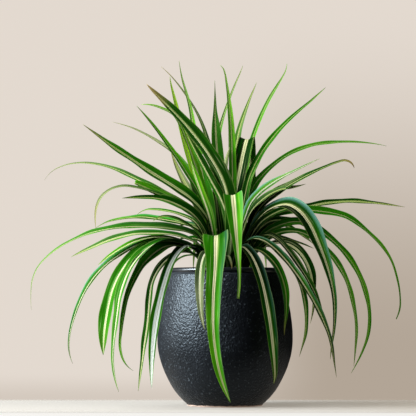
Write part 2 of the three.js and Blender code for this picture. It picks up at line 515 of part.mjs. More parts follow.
// A smooth curve through the points, with the width carried along it: each span is a cubic
// whose slope at a knot is the mean of the slopes on both sides, weighted by the spans
function smoothLine({ points, widths }) {
  const rows = points.map((p, i) => [p.x, p.y, p.z, widths[i]]);
  const last = rows.length - 1;
  const spans = [];
  const knots = [0];
  for (let i = 1; i <= last; i++) {
    spans.push(points[i].distanceTo(points[i - 1]));
    knots.push(knots[i - 1] + spans[i - 1]);
  }
  const steps = spans.map((span, i) => rows[i].map((v, c) => (rows[i + 1][c] - v) / span));
  const slopes = rows.map(() => null);
  for (let i = 1; i < last; i++) {
    const [before, after] = [spans[i - 1], spans[i]];
    slopes[i] = steps[i].map((v, c) => (steps[i - 1][c] * after + v * before) / (before + after));
  }
  slopes[0] = steps[0].map((v, c) => 2 * v - slopes[1][c]);
  slopes[last] = steps[last - 1].map((v, c) => 2 * v - slopes[last - 1][c]);
  const at = (s) => {
    let i = 0;
    while (i < last - 1 && s > knots[i + 1]) {
      i++;
    }
    const t = (s - knots[i]) / spans[i];
    const weights = [
      2 * t ** 3 - 3 * t ** 2 + 1,
      (t ** 3 - 2 * t ** 2 + t) * spans[i],
      3 * t ** 2 - 2 * t ** 3,
      (t ** 3 - t ** 2) * spans[i],
    ];
    const parts = [rows[i], slopes[i], rows[i + 1], slopes[i + 1]];
    const blend = (c) => parts.reduce((sum, part, j) => sum + part[c] * weights[j], 0);
    const centre = new THREE.Vector3(blend(0), blend(1), blend(2));
    return { centre, width: Math.max(blend(3), TIP_WIDTH), share: s / knots[last] };
  };
  return { at, length: knots[last] };
}

// Stations along a leaf, which stand closer together where it bends
function stationsOf(line) {
  const { at, length } = smoothLine(line);
  const fine = [];
  for (let k = 0; k <= FINE_STEPS; k++) {
    fine.push(at((length * k) / FINE_STEPS).centre);
  }
  const marks = [0];
  for (let k = 1; k <= FINE_STEPS; k++) {
    const step = fine[k].clone().sub(fine[k - 1]);
    const next = fine[Math.min(k + 1, FINE_STEPS)].clone().sub(fine[k]);
    const bend = k < FINE_STEPS ? step.angleTo(next) : 0;
    marks.push(marks[k - 1] + step.length() / SEGMENT_LENGTH + bend / SEGMENT_TURN);
  }
  const total = marks[FINE_STEPS];
  const count = Math.max(Math.round(total), FEWEST_SEGMENTS);
  const stations = [];
  for (let n = 0; n <= count; n++) {
    const wanted = (total * n) / count;
    let k = 1;
    while (k < FINE_STEPS && marks[k] < wanted) {
      k++;
    }
    const part = (wanted - marks[k - 1]) / (marks[k] - marks[k - 1]);
    stations.push(at((length * (k - 1 + part)) / FINE_STEPS));
  }
  return stations;
}

// The level direction from a leaf's root to its furthest station
function furthest(stations) {
  const start = stations[0].centre;
  const levels = stations.map(({ centre }) => centre.clone().sub(start).setZ(0));
  return levels.reduce((best, level) => (level.length() > best.length() ? level : best)).normalize();
}

// The six corners of the blade at each station, from one edge over the midrib to the other.
// The blade lies level across its line, then turns about the line by the leaf's own turns
function bladeCorners(stations, turns) {
  const far = furthest(stations);
  const level = new THREE.Vector3(far.y, -far.x, 0);
  const hand = far.x > 0 ? 1 : -1;
  const fold = THREE.MathUtils.degToRad(FOLD);
  const last = stations.length - 1;
  return stations.flatMap(({ centre, width, share }, k) => {
    const ahead = stations[Math.min(k + 1, last)].centre;
    const behind = stations[Math.max(k - 1, 0)].centre;
    const along = ahead.clone().sub(behind).normalize();
    const side = level.clone().projectOnPlane(along).normalize();
    const turn = THREE.MathUtils.degToRad(THREE.MathUtils.lerp(turns[0], turns[1], share));
    side.applyAxisAngle(along, turn * hand);
    const face = side.clone().cross(along);
    const rib = THREE.MathUtils.lerp(EDGE_THICK, RIB_THICK, Math.min(width / FULL_WIDTH, 1));
    const reach = (width / 2) * Math.cos(fold);
    const lift = (width / 2) * Math.sin(fold);
    const corners = [
      [-reach, lift - EDGE_THICK / 2],
      [0, -rib / 2],
      [reach, lift - EDGE_THICK / 2],
      [reach, lift + EDGE_THICK / 2],
      [0, rib / 2],
      [-reach, lift + EDGE_THICK / 2],
    ];
    return corners.map(([across, up]) => {
      return centre.clone().addScaledVector(side, across).addScaledVector(face, up);
    });
  });
}

// Faces between two stations: the corners' pairs in turn and which way each quad is split,
// the same way on the upper face as on the lower
const BLADE_QUADS = [
  { from: 0, to: 1, flip: false },
  { from: 1, to: 2, flip: true },
  { from: 2, to: 3, flip: false },
  { from: 3, to: 4, flip: true },
  { from: 4, to: 5, flip: false },
  { from: 5, to: 0, flip: false },
];
const BLADE_END = [[0, 5, 1], [1, 5, 4], [1, 4, 2], [2, 4, 3]];

function leafBody({ turns, line }) {
  const stations = stationsOf(line);
  const corners = bladeCorners(stations, turns);
  const faces = [];
  for (let here = 0; here < corners.length - 6; here += 6) {
    for (const { from, to, flip } of BLADE_QUADS) {
      const [a, b, c, d] = [here + from, here + to, here + to + 6, here + from + 6];
      if (flip) {
        faces.push([a, d, b], [b, d, c]);
      } else {
        faces.push([a, c, b], [a, d, c]);
      }
    }
  }
  const end = corners.length - 6;
  for (const [a, b, c] of BLADE_END) {
    faces.push([a, c, b], [end + a, end + b, end + c]);
  }
  const geometry = new THREE.BufferGeometry().setFromPoints(corners);
  geometry.setIndex(faces.flat());
  return solid(geometry);
}

// The outer shell of a body: small spaces shut in where leaves press together are filled
function filled(body) {
  const shells = body.decompose();
  return shells.reduce((best, shell) => (shell.volume() > best.volume() ? shell : best));
}

// A stub of stem with the leaves of its crown fused to it
function crownBody(name) {
  const [x, y] = CROWNS[name];
  const profile = [
    [0, CROWN_BOTTOM],
    [CROWN_RADIUS - 1.5, CROWN_BOTTOM],
    [CROWN_RADIUS, CROWN_BOTTOM + 3],
    [CROWN_RADIUS - 1, CROWN_TOP - 8],
    [CROWN_RADIUS - 3, CROWN_TOP - 2],
    [0, CROWN_TOP],
  ];
  const stub = solid(turned(profile, CROWN_SIDES)).translate([x, y, 0]);
  const leaves = [];
  for (const [, crown, rootTurn, tipTurn, rows] of LEAVES) {
    if (crown === name) {
      const line = leafLine(crown, rows.map(placed), rows.map((row) => row[3]));
      leaves.push({ turns: [rootTurn, tipTurn], line });
    }
  }
  if (name === 'back') {
    for (const fan of BACK_FANS) {
      for (let i = 0; i < fan.count; i++) {
        leaves.push(fanLeaf(fan, i));
      }
    }
  }
  const bunch = kit.Manifold.union([stub, ...leaves.map(leafBody)]);
  return filled(filled(bunch).simplify(SMOOTHING));
}

function named(body, name, colour, roughness) {
  const { vertProperties, triVerts } = body.getMesh();
  const geometry = new THREE.BufferGeometry();
  geometry.setAttribute('position', new THREE.BufferAttribute(new Float32Array(vertProperties), 3));
  geometry.setIndex(new THREE.BufferAttribute(new Uint32Array(triVerts), 1));
  geometry.computeVertexNormals();
  const mesh = new THREE.Mesh(geometry, new THREE.MeshStandardMaterial({ color: colour, roughness }));
  mesh.name = name;
  return mesh;
}

const plant = new THREE.Group();
plant.add(named(potBody(), 'pot', 0x14161a, 0.3));
plant.add(named(soilBody(), 'soil', 0x2c2118, 0.95));
for (const name of Object.keys(CROWNS)) {
  plant.add(named(crownBody(name), `crown_${name}`, 0x2f7a1f, 0.45));
}

export default plant;
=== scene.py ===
"""A spider plant in a dark round-bellied pot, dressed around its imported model.

The named values for the pot, the soil and the leaves are in millimetres, and all other lengths
are in metres. The leaf table gives places as they look from the front."""
import math

import bpy
import numpy as np
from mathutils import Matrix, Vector


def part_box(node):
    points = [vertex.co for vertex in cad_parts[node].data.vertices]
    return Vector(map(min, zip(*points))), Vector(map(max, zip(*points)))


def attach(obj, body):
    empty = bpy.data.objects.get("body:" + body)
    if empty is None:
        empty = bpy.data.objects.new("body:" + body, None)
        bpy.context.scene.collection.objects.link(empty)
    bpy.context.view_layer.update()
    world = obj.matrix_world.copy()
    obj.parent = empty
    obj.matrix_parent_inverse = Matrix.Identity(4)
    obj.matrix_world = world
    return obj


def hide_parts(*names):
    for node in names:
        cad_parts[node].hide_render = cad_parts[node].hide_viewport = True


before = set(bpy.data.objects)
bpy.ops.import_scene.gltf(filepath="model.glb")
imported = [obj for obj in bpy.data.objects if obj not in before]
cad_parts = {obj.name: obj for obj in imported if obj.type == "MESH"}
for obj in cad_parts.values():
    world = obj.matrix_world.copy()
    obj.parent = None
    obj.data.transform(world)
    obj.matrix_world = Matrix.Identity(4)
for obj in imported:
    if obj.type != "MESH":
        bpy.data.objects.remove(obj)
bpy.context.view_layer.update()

bl_info = {
    "name": "Potted Spider Plant",
    "version": (1, 0, 0),
    "blender": (4, 5, 0),
    "location": "3D View > Sidebar > Spider Plant",
    "description": "Builds a spider plant in a glazed pot, with its soil, leaves and studio",
    "category": "Object",
}

MM = 0.001
BODY = "root"

# The pot's outline in radius and height: its foot, its belly up to the neck, and its rolled
# lip down to the inner wall. Then how finely it is divided up and round, the thickness of its
# wall, and the seed of its pebbles
FOOT = [[36.3, 0], [37, 0.3], [37.5, 1]]
BELLY = [
    [38.2, 2], [43.6, 7], [49.6, 14], [57, 26.5], [62.8, 40], [66.7, 55], [67.5, 71],
    [65.9, 89], [62.4, 108], [57.2, 130],
]
LIP = [
    [56.5, 131], [55.9, 131.7], [56, 132.4], [56.6, 133.2], [56.9, 134.3], [56.5, 135.6],
    [55.6, 136.5], [54.4, 136.9], [53.2, 137], [52, 136.7], [51, 136], [50.5, 134.9],
    [50.5, 129],
]
BELLY_STEPS = 150
POT_SIDES = 400
WALL = 5.5
POT_SEED = 3.0

# The pot's inside: its floor's height, the radius where the floor meets the wall and that of
# its innermost ring, and the stretch of the belly that the inner wall follows, by every few
# of its steps
POT_FLOOR = 7.0
FLOOR_EDGE = 35.0
HUB = 20.0
INNER_LOW, INNER_HIGH = POT_FLOOR + 3, 126
INNER_STRIDE = 6

# Heights over which the glaze changes: its pebbles rise above the foot and fade below the
# neck, then comes the dull groove, and the smooth bead of the lip
PEBBLES_RISE = (1.2, 3)
PEBBLES_FADE = (126, 130)
GROOVE = (130.2, 131.4)
BEAD = (131.8, 132.8)

# The soil: its outline up to its surface, the surface's outer radius and mean height, how far
# the surface's rings shrink towards the middle, how finely it is divided, and the seed of its
# crumbs
SOIL_SIDE = [
    [34.5, 7.6], [38, 10.4], [51.2, 26.5], [57, 40], [60.9, 55], [61.4, 71], [59.9, 89],
    [56.4, 108], [52.6, 119],
]
SOIL_RIM = 51.6
SOIL_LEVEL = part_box("soil")[1].z / MM - 1.4
SOIL_SHRINK = 0.985
SOIL_RINGS = 64
SOIL_SIDES = 240
SOIL_SEED = 11.0

# Loose crumbs and pale grains lie within this radius, and this far from the middle of each
# crown. A grain's size as a share of a crumb's, and a seed for each kind
CRUMB_REACH = 49.5
CRUMB_CLEAR = 8.5
GRAIN_SHARE = 0.8
CRUMB_SEED, GRAIN_SEED = 21, 31

# The crowns: where each stands, how high its leaves are rooted, and its stub of stem
CROWNS = {
    "front": (-2.0, -14.0),
    "left": (-16.0, 2.0),
    "right": (16.0, 0.0),
    "back": (2.0, 17.0),
}
ROOT_HEIGHT = 126.0
ROOT_OUT = 2.0
ROOT_WIDTH = 8.0
THIN_LEAF = 6.0
STUB_OUTLINE = [[6, 112], [7.4, 118], [7.8, 125], [7, 133], [4.6, 139.5], [2, 142]]
STUB_PEAK = 0.6
STUB_SIDES = 20

# A blade: the width from which it has its full thickness and waves, and how widely its valley
# is rounded and its rib spreads, as shares of the half blade. The waves along its edges turn by
# WAVE_TURN radians in each WAVE_LENGTH. They start WAVE_START times the leaf's seed on, and are
# WAVE_LAG ahead at one edge and as much behind at the other.
FULL_WIDTH = 9.0
VALLEY_ROUND = 0.2
RIB_SPREAD = 0.2
WAVE_LENGTH = 30.0
WAVE_TURN = 5.0
WAVE_START = 6.28
WAVE_LAG = 1.3

# A blade whose last width is under the first value comes to a point: its least width, how
# much it is narrowed and from which share of its length. Any other ends blunt, with a least
# width of its own.
POINTED_BELOW = 1.0
POINT_WIDTH = 0.35
POINT_NARROWED = 0.6
POINT_FROM = 0.86
BLUNT_WIDTH = 1.5

# Places across a blade, from one edge over the midrib to the other
ACROSS = np.array(
    [-1, -0.95, -0.82, -0.62, -0.42, -0.24, -0.1, 0, 0.1, 0.24, 0.42, 0.62, 0.82, 0.95, 1]
)

# Leaf points are given as they look from the front at eye height
EYE_DISTANCE = 2000.0
EYE_HEIGHT = 105.0
ACROSS_MIDDLE = 225.0
DOWN_FLOOR = 405.0
PICTURE = 416.0

# Each leaf: its name, the crown that it grows from, the turn of its blade at its root and at
# its tip in degrees, its finish, and points from its root to its tip: across, down, depth and
# width. The finish is the half width of its pale stripe as a share of the half leaf, the tone
# of its green from dark 0 to lime 1, set to how dark or light each leaf looks where it stands,
# so that it holds painted shade and painted light as well as the leaf's own green, how far it
# is bleached towards its tip, how lime its stripe is or how silvery below 0, how strong a
# painted sheen lies along one edge, whose sign is the side, and how dry its tip is.
LEAVES = [
    ("left_broad", "left", (45, 50), (0.25, 0.26, 0, 0.6, 0, 0.35), [
        (211, 226, 0, 10), (200, 208, -3, 14), (190, 198, -5, 15), (178, 189.5, -6, 15.5),
        (164, 180.5, -8, 15), (148, 170.5, -10, 13), (130, 158.3, -12, 9.8), (112, 146.3, -14, 8),
        (97, 135, -15, 4.2), (82.5, 124, -16, 0.9),
    ]),
    ("left_fine_tip", "left", (30, 55), (0.08, 0.48, 0, 0.6, 0, 0.12), [
        (208, 224, 2, 9), (204, 204, 3, 9), (197, 190, 4, 9), (188, 175, 5, 8), (177, 158, 6, 7),
        (165, 141, 7, 5), (151, 122.5, 8, 3.4), (136.5, 105.5, 9, 0.9),
    ]),
    ("left_long_bow", "left", (35, 35), (0.14, 0.26, 0.2, 0.7, 0, 0.12), [
        (196, 214, 12, 9), (177, 201.5, 22, 9), (160, 191.5, 32, 8.5), (145, 183.5, 42, 8),
        (130, 176, 52, 7), (114, 168.8, 61, 5.5), (97, 164.2, 69, 4), (80, 162.8, 75, 3.2),
        (64, 165.4, 80, 2.4), (52, 171, 83, 1.8), (44, 180, 84, 0.9),
    ]),
    ("left_hook", "left", (45, 20), (0.1, 0.2, 0.3, 0.7, 0, 0.4), [
        (199, 222, -5, 7), (181, 206, -13, 7), (165, 197, -20, 7), (150, 191.5, -27, 6.5),
        (136, 187.7, -33, 6), (122, 186.4, -38, 5), (110, 189.8, -42, 4.4), (101, 197.2, -45, 4),
        (96.6, 207, -47, 3.4), (95.3, 217, -48, 2.6), (95.8, 228, -48, 0.9),
    ]),
    ("left_cut", "left", (45, 45), (0.12, 0.36, 0, 0.5, 0, 0), [
        (200, 223, -8, 9), (184, 209, -13, 13), (168, 199, -17, 14), (152, 191, -21, 13),
        (143, 186.8, -23, 11), (134.5, 183, -25, 8),
    ]),
    ("left_point", "left", (55, 40), (0.12, 0.22, 0, 0.6, 0, 0.12), [
        (204, 229, -9, 11), (192, 214, -15, 16), (180, 206.5, -20, 16), (167, 201, -25, 13),
        (154, 198.3, -30, 8.5), (140, 197.6, -34, 5.5), (130, 197.8, -37, 3.4),
        (122, 198.2, -40, 0.9),
    ]),
    ("left_back_thin", "left", (20, 40), (0.15, 0.24, 0, 0.6, 0, 0.12), [
        (195, 222, 12, 5), (180, 214.5, 28, 4.6), (168, 211.2, 40, 4.2), (156, 209.7, 51, 3.8),
        (146, 210, 60, 3), (140, 212.5, 65, 2.2), (136, 215.5, 68, 0.9),
    ]),
    ("left_back_low", "left", (25, 45), (0.1, 0.18, 0, 0.6, 0.19, 0.12), [
        (198, 229, 8, 9), (182, 223.5, 20, 9), (168, 220.5, 31, 9), (155, 218.6, 42, 8.5),
        (142, 217.2, 52, 7.5), (130, 217.9, 61, 6), (118, 219.4, 69, 4.4), (107, 222.2, 76, 3.2),
        (95, 228.5, 82, 0.9),
    ]),
    ("left_small", "left", (30, 25), (0.12, 0.18, 0, 0.7, 0, 0.12), [
        (196, 231, -13, 7), (186, 224, -17, 7.5), (176, 218.8, -21, 7.5), (168, 216.8, -24, 6),
        (160, 217.4, -26, 4), (153, 221.3, -28, 0.9),
    ]),
    ("left_longest", "left", (35, 20), (0.1, 0.48, 0.16, 0.3, 0.05, 0.12), [
        (201, 239, -7, 10), (187, 232, -10, 12.5), (170, 228.8, -14, 14), (152, 227.2, -18, 14),
        (136, 226.9, -21, 13.5), (120, 227.8, -24, 12), (105, 229.9, -27, 10), (90, 233.4, -29, 8),
        (75, 239.2, -31, 5.5), (60, 247, -33, 4.2), (47, 257, -34, 3.2), (38, 267, -35, 2.6),
        (32.5, 280, -35, 2), (31, 295, -35, 1.4), (31.5, 310, -34, 0.9),
    ]),
    ("left_pale", "left", (35, 30), (0.2, 0.44, 0.1, 0.2, 0.12, 0.12), [
        (197, 244, -17, 7), (181, 237, -24, 9), (165, 234, -31, 10), (150, 233.8, -37, 10),
        (135, 234.2, -43, 10), (120, 237.2, -48, 9), (105, 242, -53, 7.5), (91, 248, -57, 5.5),
        (80, 252.8, -60, 3.4), (71, 257, -62, 0.9),
    ]),
    ("left_yellow_tip", "left", (25, 20), (0.2, 0.5, 0, 0.1, 0, 0.12), [
        (190, 245, -20, 6.5), (168, 238, -33, 7), (150, 238, -42, 7.5), (136, 241.5, -49, 7),
        (122, 248.2, -56, 6.5), (110, 256, -61, 5), (98, 265, -66, 0.9),
    ]),
    ("left_droop", "left", (30, 10), (0.1, 0.12, 0, -0.3, 0.45, 0.12), [
        (192, 248, -18, 8), (172, 240, -30, 9.5), (153, 240.3, -40, 10.5), (136, 246, -48, 10.5),
        (120, 254.8, -55, 10.5), (107, 264.3, -60, 9.5), (96.5, 274.5, -64, 8.5),
        (87, 288, -67, 7.5), (79.5, 303, -69, 6), (73.8, 319, -70, 4.6), (70, 335, -70, 3.6),
        (69.3, 348, -69, 2.8), (73, 363.5, -67, 0.9),
    ]),
    ("left_blade_low", "left", (10, 20), (0.12, 0.32, 0, -0.2, 0, 0.12), [
        (195, 250, -20, 9), (177, 242, -32, 12), (159, 242, -44, 13.5), (144, 248, -54, 14),
        (131, 258.5, -62, 14), (120.5, 273, -68, 13.5), (113, 289, -72, 13.5), (109, 304, -75, 14),
        (106.3, 319, -76, 15), (104.6, 332, -77, 12.5), (103.8, 344, -77, 7.5),
        (103.5, 355, -77, 0.9),
    ]),
    ("left_glossy", "left", (0, 0), (0.12, 0.34, 0.05, -0.3, -0.1, 0.1), [
        (197, 252, -22, 9), (181, 243, -36, 12), (164, 241, -50, 13.5), (150, 247, -60, 14),
        (138.5, 257.5, -68, 14), (130, 269.5, -74, 13.5), (124, 283, -79, 12.5),
        (120, 297, -82, 11), (117.8, 312, -84, 9), (115.8, 328, -85, 7.5), (113.8, 344, -86, 5.5),
        (113.2, 360, -86, 4), (115, 376, -86, 3.2), (119, 391.5, -85, 0.9),
    ]),
    ("left_folded", "left", (35, 0), (0.08, 0.5, 0, 0.3, 0, 0.1), [
        (194, 255, -22, 9), (180, 246.5, -34, 13), (165, 247, -46, 17), (152, 255.5, -56, 17),
        (142, 266, -63, 11), (133.5, 281, -69, 7.5), (127.3, 297, -73, 6.5), (123.8, 313, -76, 5.5),
        (121.6, 330, -78, 4.4), (120.7, 348, -78, 3.6), (124, 360, -76, 3), (129, 367, -73, 2),
        (133.5, 370.5, -71, 0.9),
    ]),
    ("front_left_broad", "left", (10, 0), (0.46, 0.34, 0, -1, 0, 0.05), [
        (204, 257, -12, 10), (196, 248, -26, 12.5), (186, 246.5, -38, 12.5),
        (177, 254.5, -47, 11.5), (170.5, 266, -54, 12), (165.5, 281, -58, 12),
        (161, 298, -61, 12.5), (157.5, 315, -62, 13), (155, 332, -62, 12), (153.3, 348, -62, 9.5),
        (152.4, 362, -62, 6.5), (152, 375, -61, 4.6), (152, 388, -60, 0.9),
    ]),
    ("front_left_narrow", "left", (15, 5), (0.2, 0.22, 0, 0, 0, 0.1), [
        (201, 259, -8, 8), (188, 252.5, -22, 9), (176, 254, -34, 9.5), (166, 261, -43, 9.5),
        (157.5, 271.5, -49, 9), (152, 284, -52, 8.5), (150, 298, -54, 8.5), (148.8, 313, -55, 8.5),
        (147, 330, -55, 8.5), (144.6, 346, -55, 7.5), (142.6, 361, -54, 5), (140.5, 376, -53, 3.4),
        (138.4, 391, -52, 0.9),
    ]),
    ("left_low_dark", "left", (20, 10), (0.12, 0.4, 0, 0.3, 0, 0.12), [
        (205, 252, 12, 7), (196, 249.5, 28, 8), (186, 249.5, 44, 7.5), (177, 253.5, 58, 6),
        (170, 261, 70, 3.4), (166, 272, 78, 0.9),
    ]),
    ("left_low_dark_small", "left", (15, 10), (0.12, 0.2, 0, 0.3, 0, 0.12), [
        (203, 258, 14, 7), (195, 255.5, 28, 7.5), (186, 256, 42, 6.5), (178, 260, 54, 4.4),
        (172, 267, 63, 0.9),
    ]),
    ("left_lime", "left", (25, 20), (0.12, 0.95, 0, 0.9, 0, 0.12), [
        (209, 226, 6, 7.5), (203.5, 206, 10, 7), (198, 188, 14, 6.5), (192, 169, 19, 6),
        (186, 149, 24, 5.8), (181, 128, 30, 5.6), (176.8, 109, 36, 4.6), (173.4, 95, 40, 3.2),
        (170.8, 84, 43, 2.2), (169.7, 76, 45, 0.9),
    ]),
    ("left_tall_back", "left", (10, 5), (0.12, 0.5, 0.1, 0.5, 0, 0.12), [
        (212, 222, 12, 8.5), (208, 200, 19, 12), (203.5, 180, 28, 10), (199.5, 160, 39, 8),
        (196, 142, 50, 7), (193, 124, 62, 5.2), (190, 107, 74, 4), (186, 92, 84, 2.8),
        (182, 78, 93, 2), (179, 60, 102, 0.9),
    ]),
    ("left_striped", "left", (50, 45), (0.12, 0.62, 0, 0, 0, 0.12), [
        (210, 224, 0, 8), (205.5, 202, -2, 9), (200, 181, -4, 9.5), (193.5, 161, -6, 9),
        (187, 142, -8, 8), (180, 125, -9, 6.5), (172, 113.5, -10, 5), (162, 108.2, -10, 4),
        (151.5, 104.8, -10, 3), (141, 104, -9, 0.9),
    ]),
    ("left_striped_short", "left", (-10, -10), (0.2, 0.5, 0, 0, 0, 0.1), [
        (212, 228, -3, 8), (208, 212, -6, 9), (202, 195, -9, 9), (196, 178, -12, 7.5),
        (191, 161, -14, 0.9),
    ]),
    ("left_grey_bow", "left", (25, 20), (0.1, 0.3, 0.45, 0.3, 0, 0.12), [
        (208, 224, 14, 8), (201, 201, 28, 14), (193, 180, 44, 10), (183, 163.5, 58, 7),
        (172, 151.5, 70, 6), (159, 142.3, 81, 4.8), (146, 134.5, 90, 3.6), (132, 127.7, 98, 2.6),
        (122, 124.3, 104, 2), (112, 121.5, 110, 0.9),
    ]),
    ("left_pale_back", "left", (15, 15), (0.35, 0.35, 0.5, 0.5, 0, 0.5), [
        (206, 222, 14, 8), (198, 206, 24, 11), (189, 191, 35, 9.5), (181, 176, 46, 6.5),
        (175.5, 164, 55, 4.4), (171, 152, 62, 0.9),
    ]),
    ("front_raised", "front", (-30, -25), (0.11, 0.05, 0, 0.2, 0, 0.8), [
        (231, 246, -18, 10), (230, 216, -27, 14.5), (227.5, 196, -32, 17), (221.5, 177, -38, 17.5),
        (213.5, 162, -43, 17), (204.5, 148, -47, 16), (193, 133, -50, 15), (181, 119, -53, 12),
        (170, 107.5, -56, 9.5), (160, 97.5, -58, 7), (152, 89.7, -60, 4.4), (146.3, 83.5, -61, 0.9),
    ]),
    ("front_slant", "front", (-25, -25), (0.12, 0.14, 0, 0.3, 0, 0.12), [
        (233, 250, -16, 9), (231, 232, -20, 10), (226.5, 214, -25, 10.5), (220, 197, -29, 10.5),
        (212, 182, -32, 10), (204, 167, -34, 9.5), (196, 152, -36, 7.5), (190, 140.5, -37, 5),
        (184.5, 129, -38, 0.9),
    ]),
    ("front_broad", "front", (14, 4), (0.17, 0.48, 0, 0.1, -0.1, 0.12), [
        (222, 262, -22, 12), (219, 244, -34, 19), (216.5, 236, -47, 23.5), (216, 241, -61, 25),
        (215.8, 254, -71, 20.5), (215, 272, -77, 16), (213.7, 290, -81, 15.2),
        (213, 310, -84, 13.6), (213.2, 330, -86, 11.6), (215.2, 350, -88, 9.8),
        (218, 366, -89, 8.8), (222, 381, -90, 6.6), (226.5, 393, -91, 3.8), (230.5, 402, -91, 0.9),
    ]),
    ("front_second", "front", (14, 4), (0.24, 0.5, 0, 0.25, -0.12, 0.12), [
        (229.5, 250, -16, 10), (232.5, 225, -22, 14), (233.8, 205, -30, 17),
        (233, 195.5, -40, 18.5), (233.6, 202, -52, 18.5), (234.8, 216, -60, 15.5),
        (236, 231, -66, 12), (237.2, 246, -70, 8.4), (238.3, 260, -73, 5.2), (239.2, 274, -75, 3.2),
        (239, 287, -76, 2.8), (237.8, 298.5, -76, 2.4),
    ]),
    ("front_short", "front", (0, 0), (0.16, 0.2, 0.5, -0.3, 0, 0.1), [
        (217, 268, -22, 7), (212, 256, -36, 9), (206.5, 253, -50, 9.5), (202.3, 261, -61, 9.5),
        (200.4, 273, -67, 9.5), (199.8, 288, -71, 8.5), (200.3, 302, -73, 7),
        (201.6, 316, -74, 4.4), (204.8, 329.5, -75, 0.9),
    ]),
    ("front_right_long", "front", (15, 20), (0.22, 0.08, 0, 0.05, -0.12, 0.12), [
        (231, 268, -22, 8), (235, 254, -30, 11), (242.5, 247.5, -40, 12.5),
        (249.5, 253.5, -48, 12.5), (255, 263, -54, 12.5), (260, 276, -58, 12.8),
        (264, 291, -61, 12.8), (267, 306, -63, 12.8), (269.5, 321, -65, 12.4),
        (271.5, 337, -66, 11), (273, 352, -66, 9), (274.2, 366, -65, 6.8), (274.5, 376, -64, 4.4),
        (273.5, 383.5, -63, 0.9),
    ]),
    ("front_curl", "front", (0, 0), (0.1, 0.4, 0.5, 0.8, 0, 0.8), [
        (228, 266, -32, 3.4), (226, 256.5, -42, 3.2), (228.5, 256.5, -50, 2.8),
        (231, 263, -55, 2.2), (231.8, 269, -57, 0.9),
    ]),
    ("right_over_rim", "right", (20, 15), (0.1, 0.2, 0, 0.9, 0.12, 0.6), [
        (246, 256, -14, 8), (253, 250, -22, 9.5), (262, 252, -30, 9.5), (270, 258.5, -37, 9.5),
        (277, 267.5, -42, 9.2), (282, 279, -45, 8.8), (285, 291, -46, 7.6), (286, 303, -47, 6),
        (285.7, 314, -47, 4.2), (284.5, 325, -47, 2.6), (284, 335, -47, 0.9),
    ]),
    ("right_straight", "right", (20, 30), (0.06, 0.26, 0, 0.8, 0, 0.12), [
        (243, 212, 6, 9), (246, 192, 12, 9.5), (250, 177, 18, 9), (256.5, 162.5, 25, 8.2),
        (265, 148, 33, 7.6), (276, 133.7, 42, 6.8), (288, 121, 50, 5.2), (300, 110, 57, 4),
        (311, 100.8, 63, 3), (319, 93.5, 68, 2.2), (326, 87, 72, 0.9),
    ]),
    ("right_high_bow", "right", (40, 30), (0.06, 0.54, 0.04, 0.5, 0, 0.12), [
        (245, 214, 8, 9), (249.5, 197, 14, 9.5), (255, 185, 20, 9), (263, 175, 28, 7.5),
        (272, 166.3, 37, 5.6), (284, 157.2, 48, 5.8), (297, 150.5, 58, 6.2), (312, 145.6, 68, 6.6),
        (328, 143.1, 76, 6.4), (345, 142.2, 83, 5.4), (362, 142.6, 89, 4), (376, 144, 93, 2.6),
        (387, 146, 96, 0.9),
    ]),
    ("right_silver", "right", (45, 50), (0.12, 0.3, 0.15, -0.6, -0.7, 0.12), [
        (246, 216, -4, 8.5), (252, 202, -6, 10.5), (261, 192, -8, 11), (272, 183.7, -10, 8.2),
        (285, 175.9, -11, 4.8), (298, 169.4, -12, 3.2), (309, 163.8, -12, 2.4),
        (320, 158.5, -12, 0.9),
    ]),
    ("right_pale_short", "right", (45, 45), (0.14, 0.15, 0.1, 0.6, 0, 0.12), [
        (247, 221, -9, 8), (253, 209.5, -13, 9.5), (262, 200.5, -17, 10), (272, 193.5, -21, 9.5),
        (283, 189, -25, 7), (294, 187.4, -29, 4.4), (306, 184, -32, 0.9),
    ]),
    ("right_dark_hook", "right", (75, 45), (0.06, 0.02, 0, 0.5, 0, 0.7), [
        (252, 223, -3, 9.5), (259, 210, -9, 12), (267, 201, -14, 12.5), (277, 193.2, -20, 11.5),
        (288, 186.3, -26, 9), (300, 179.4, -32, 7), (313, 172.7, -38, 5.5), (326, 166.8, -43, 4.2),
        (337, 162.5, -47, 3.6), (346, 160.6, -50, 3.2), (351.5, 163, -52, 2.6),
        (354.5, 168, -53, 0.9),
    ]),
    ("right_level", "right", (35, 35), (0.3, 0.1, 0, 0.8, 0, 0.3), [
        (257, 223, 8, 8.5), (269, 214.5, 19, 9), (282, 210.6, 30, 9), (296, 208.8, 41, 9),
        (310, 206.6, 51, 9), (325, 203.8, 60, 9), (342, 202.2, 68, 9), (358, 202.1, 75, 8.4),
        (374, 203.4, 81, 6.4), (390, 205.2, 86, 4), (405, 207.2, 90, 0.9),
    ]),
    ("right_far_droop", "right", (40, 48), (0.07, 0.48, 0, 0.6, 0, 0.05), [
        (257, 227, 2, 9.5), (270, 217, 9, 11), (286, 212, 15, 12), (302, 210.6, 21, 12),
        (318, 211.6, 26, 12), (334, 213.8, 31, 11.5), (347, 217.8, 35, 10.5), (358, 224.6, 38, 8.4),
        (370, 234.8, 41, 7.2), (381, 246, 43, 6.4), (390, 259.5, 44, 5.4), (396, 277, 45, 4.2),
        (399.2, 295, 45, 3.4), (399, 308, 44, 3.4), (395.5, 319, 43, 1.6),
    ]),
    ("right_arch", "right", (42, 22), (0.16, 0.04, 0, 0.15, -0.5, 0.12), [
        (250, 233, -10, 12), (261, 217, -18, 16), (274, 207.5, -26, 18), (288.5, 205.3, -34, 19),
        (299.5, 211.5, -40, 19.5), (308.5, 223, -44, 19), (315.5, 237, -48, 17),
        (321.3, 251, -51, 14), (326.3, 265, -53, 11), (330.7, 281, -55, 8), (333.5, 297, -56, 6),
        (334.2, 313, -56, 4.6), (333.3, 330, -55, 3.6), (331, 346, -54, 2.6), (330, 359, -53, 0.9),
    ]),
    ("right_outer_droop", "right", (50, 60), (0.08, 0.5, 0, 0.6, 0, 0.05), [
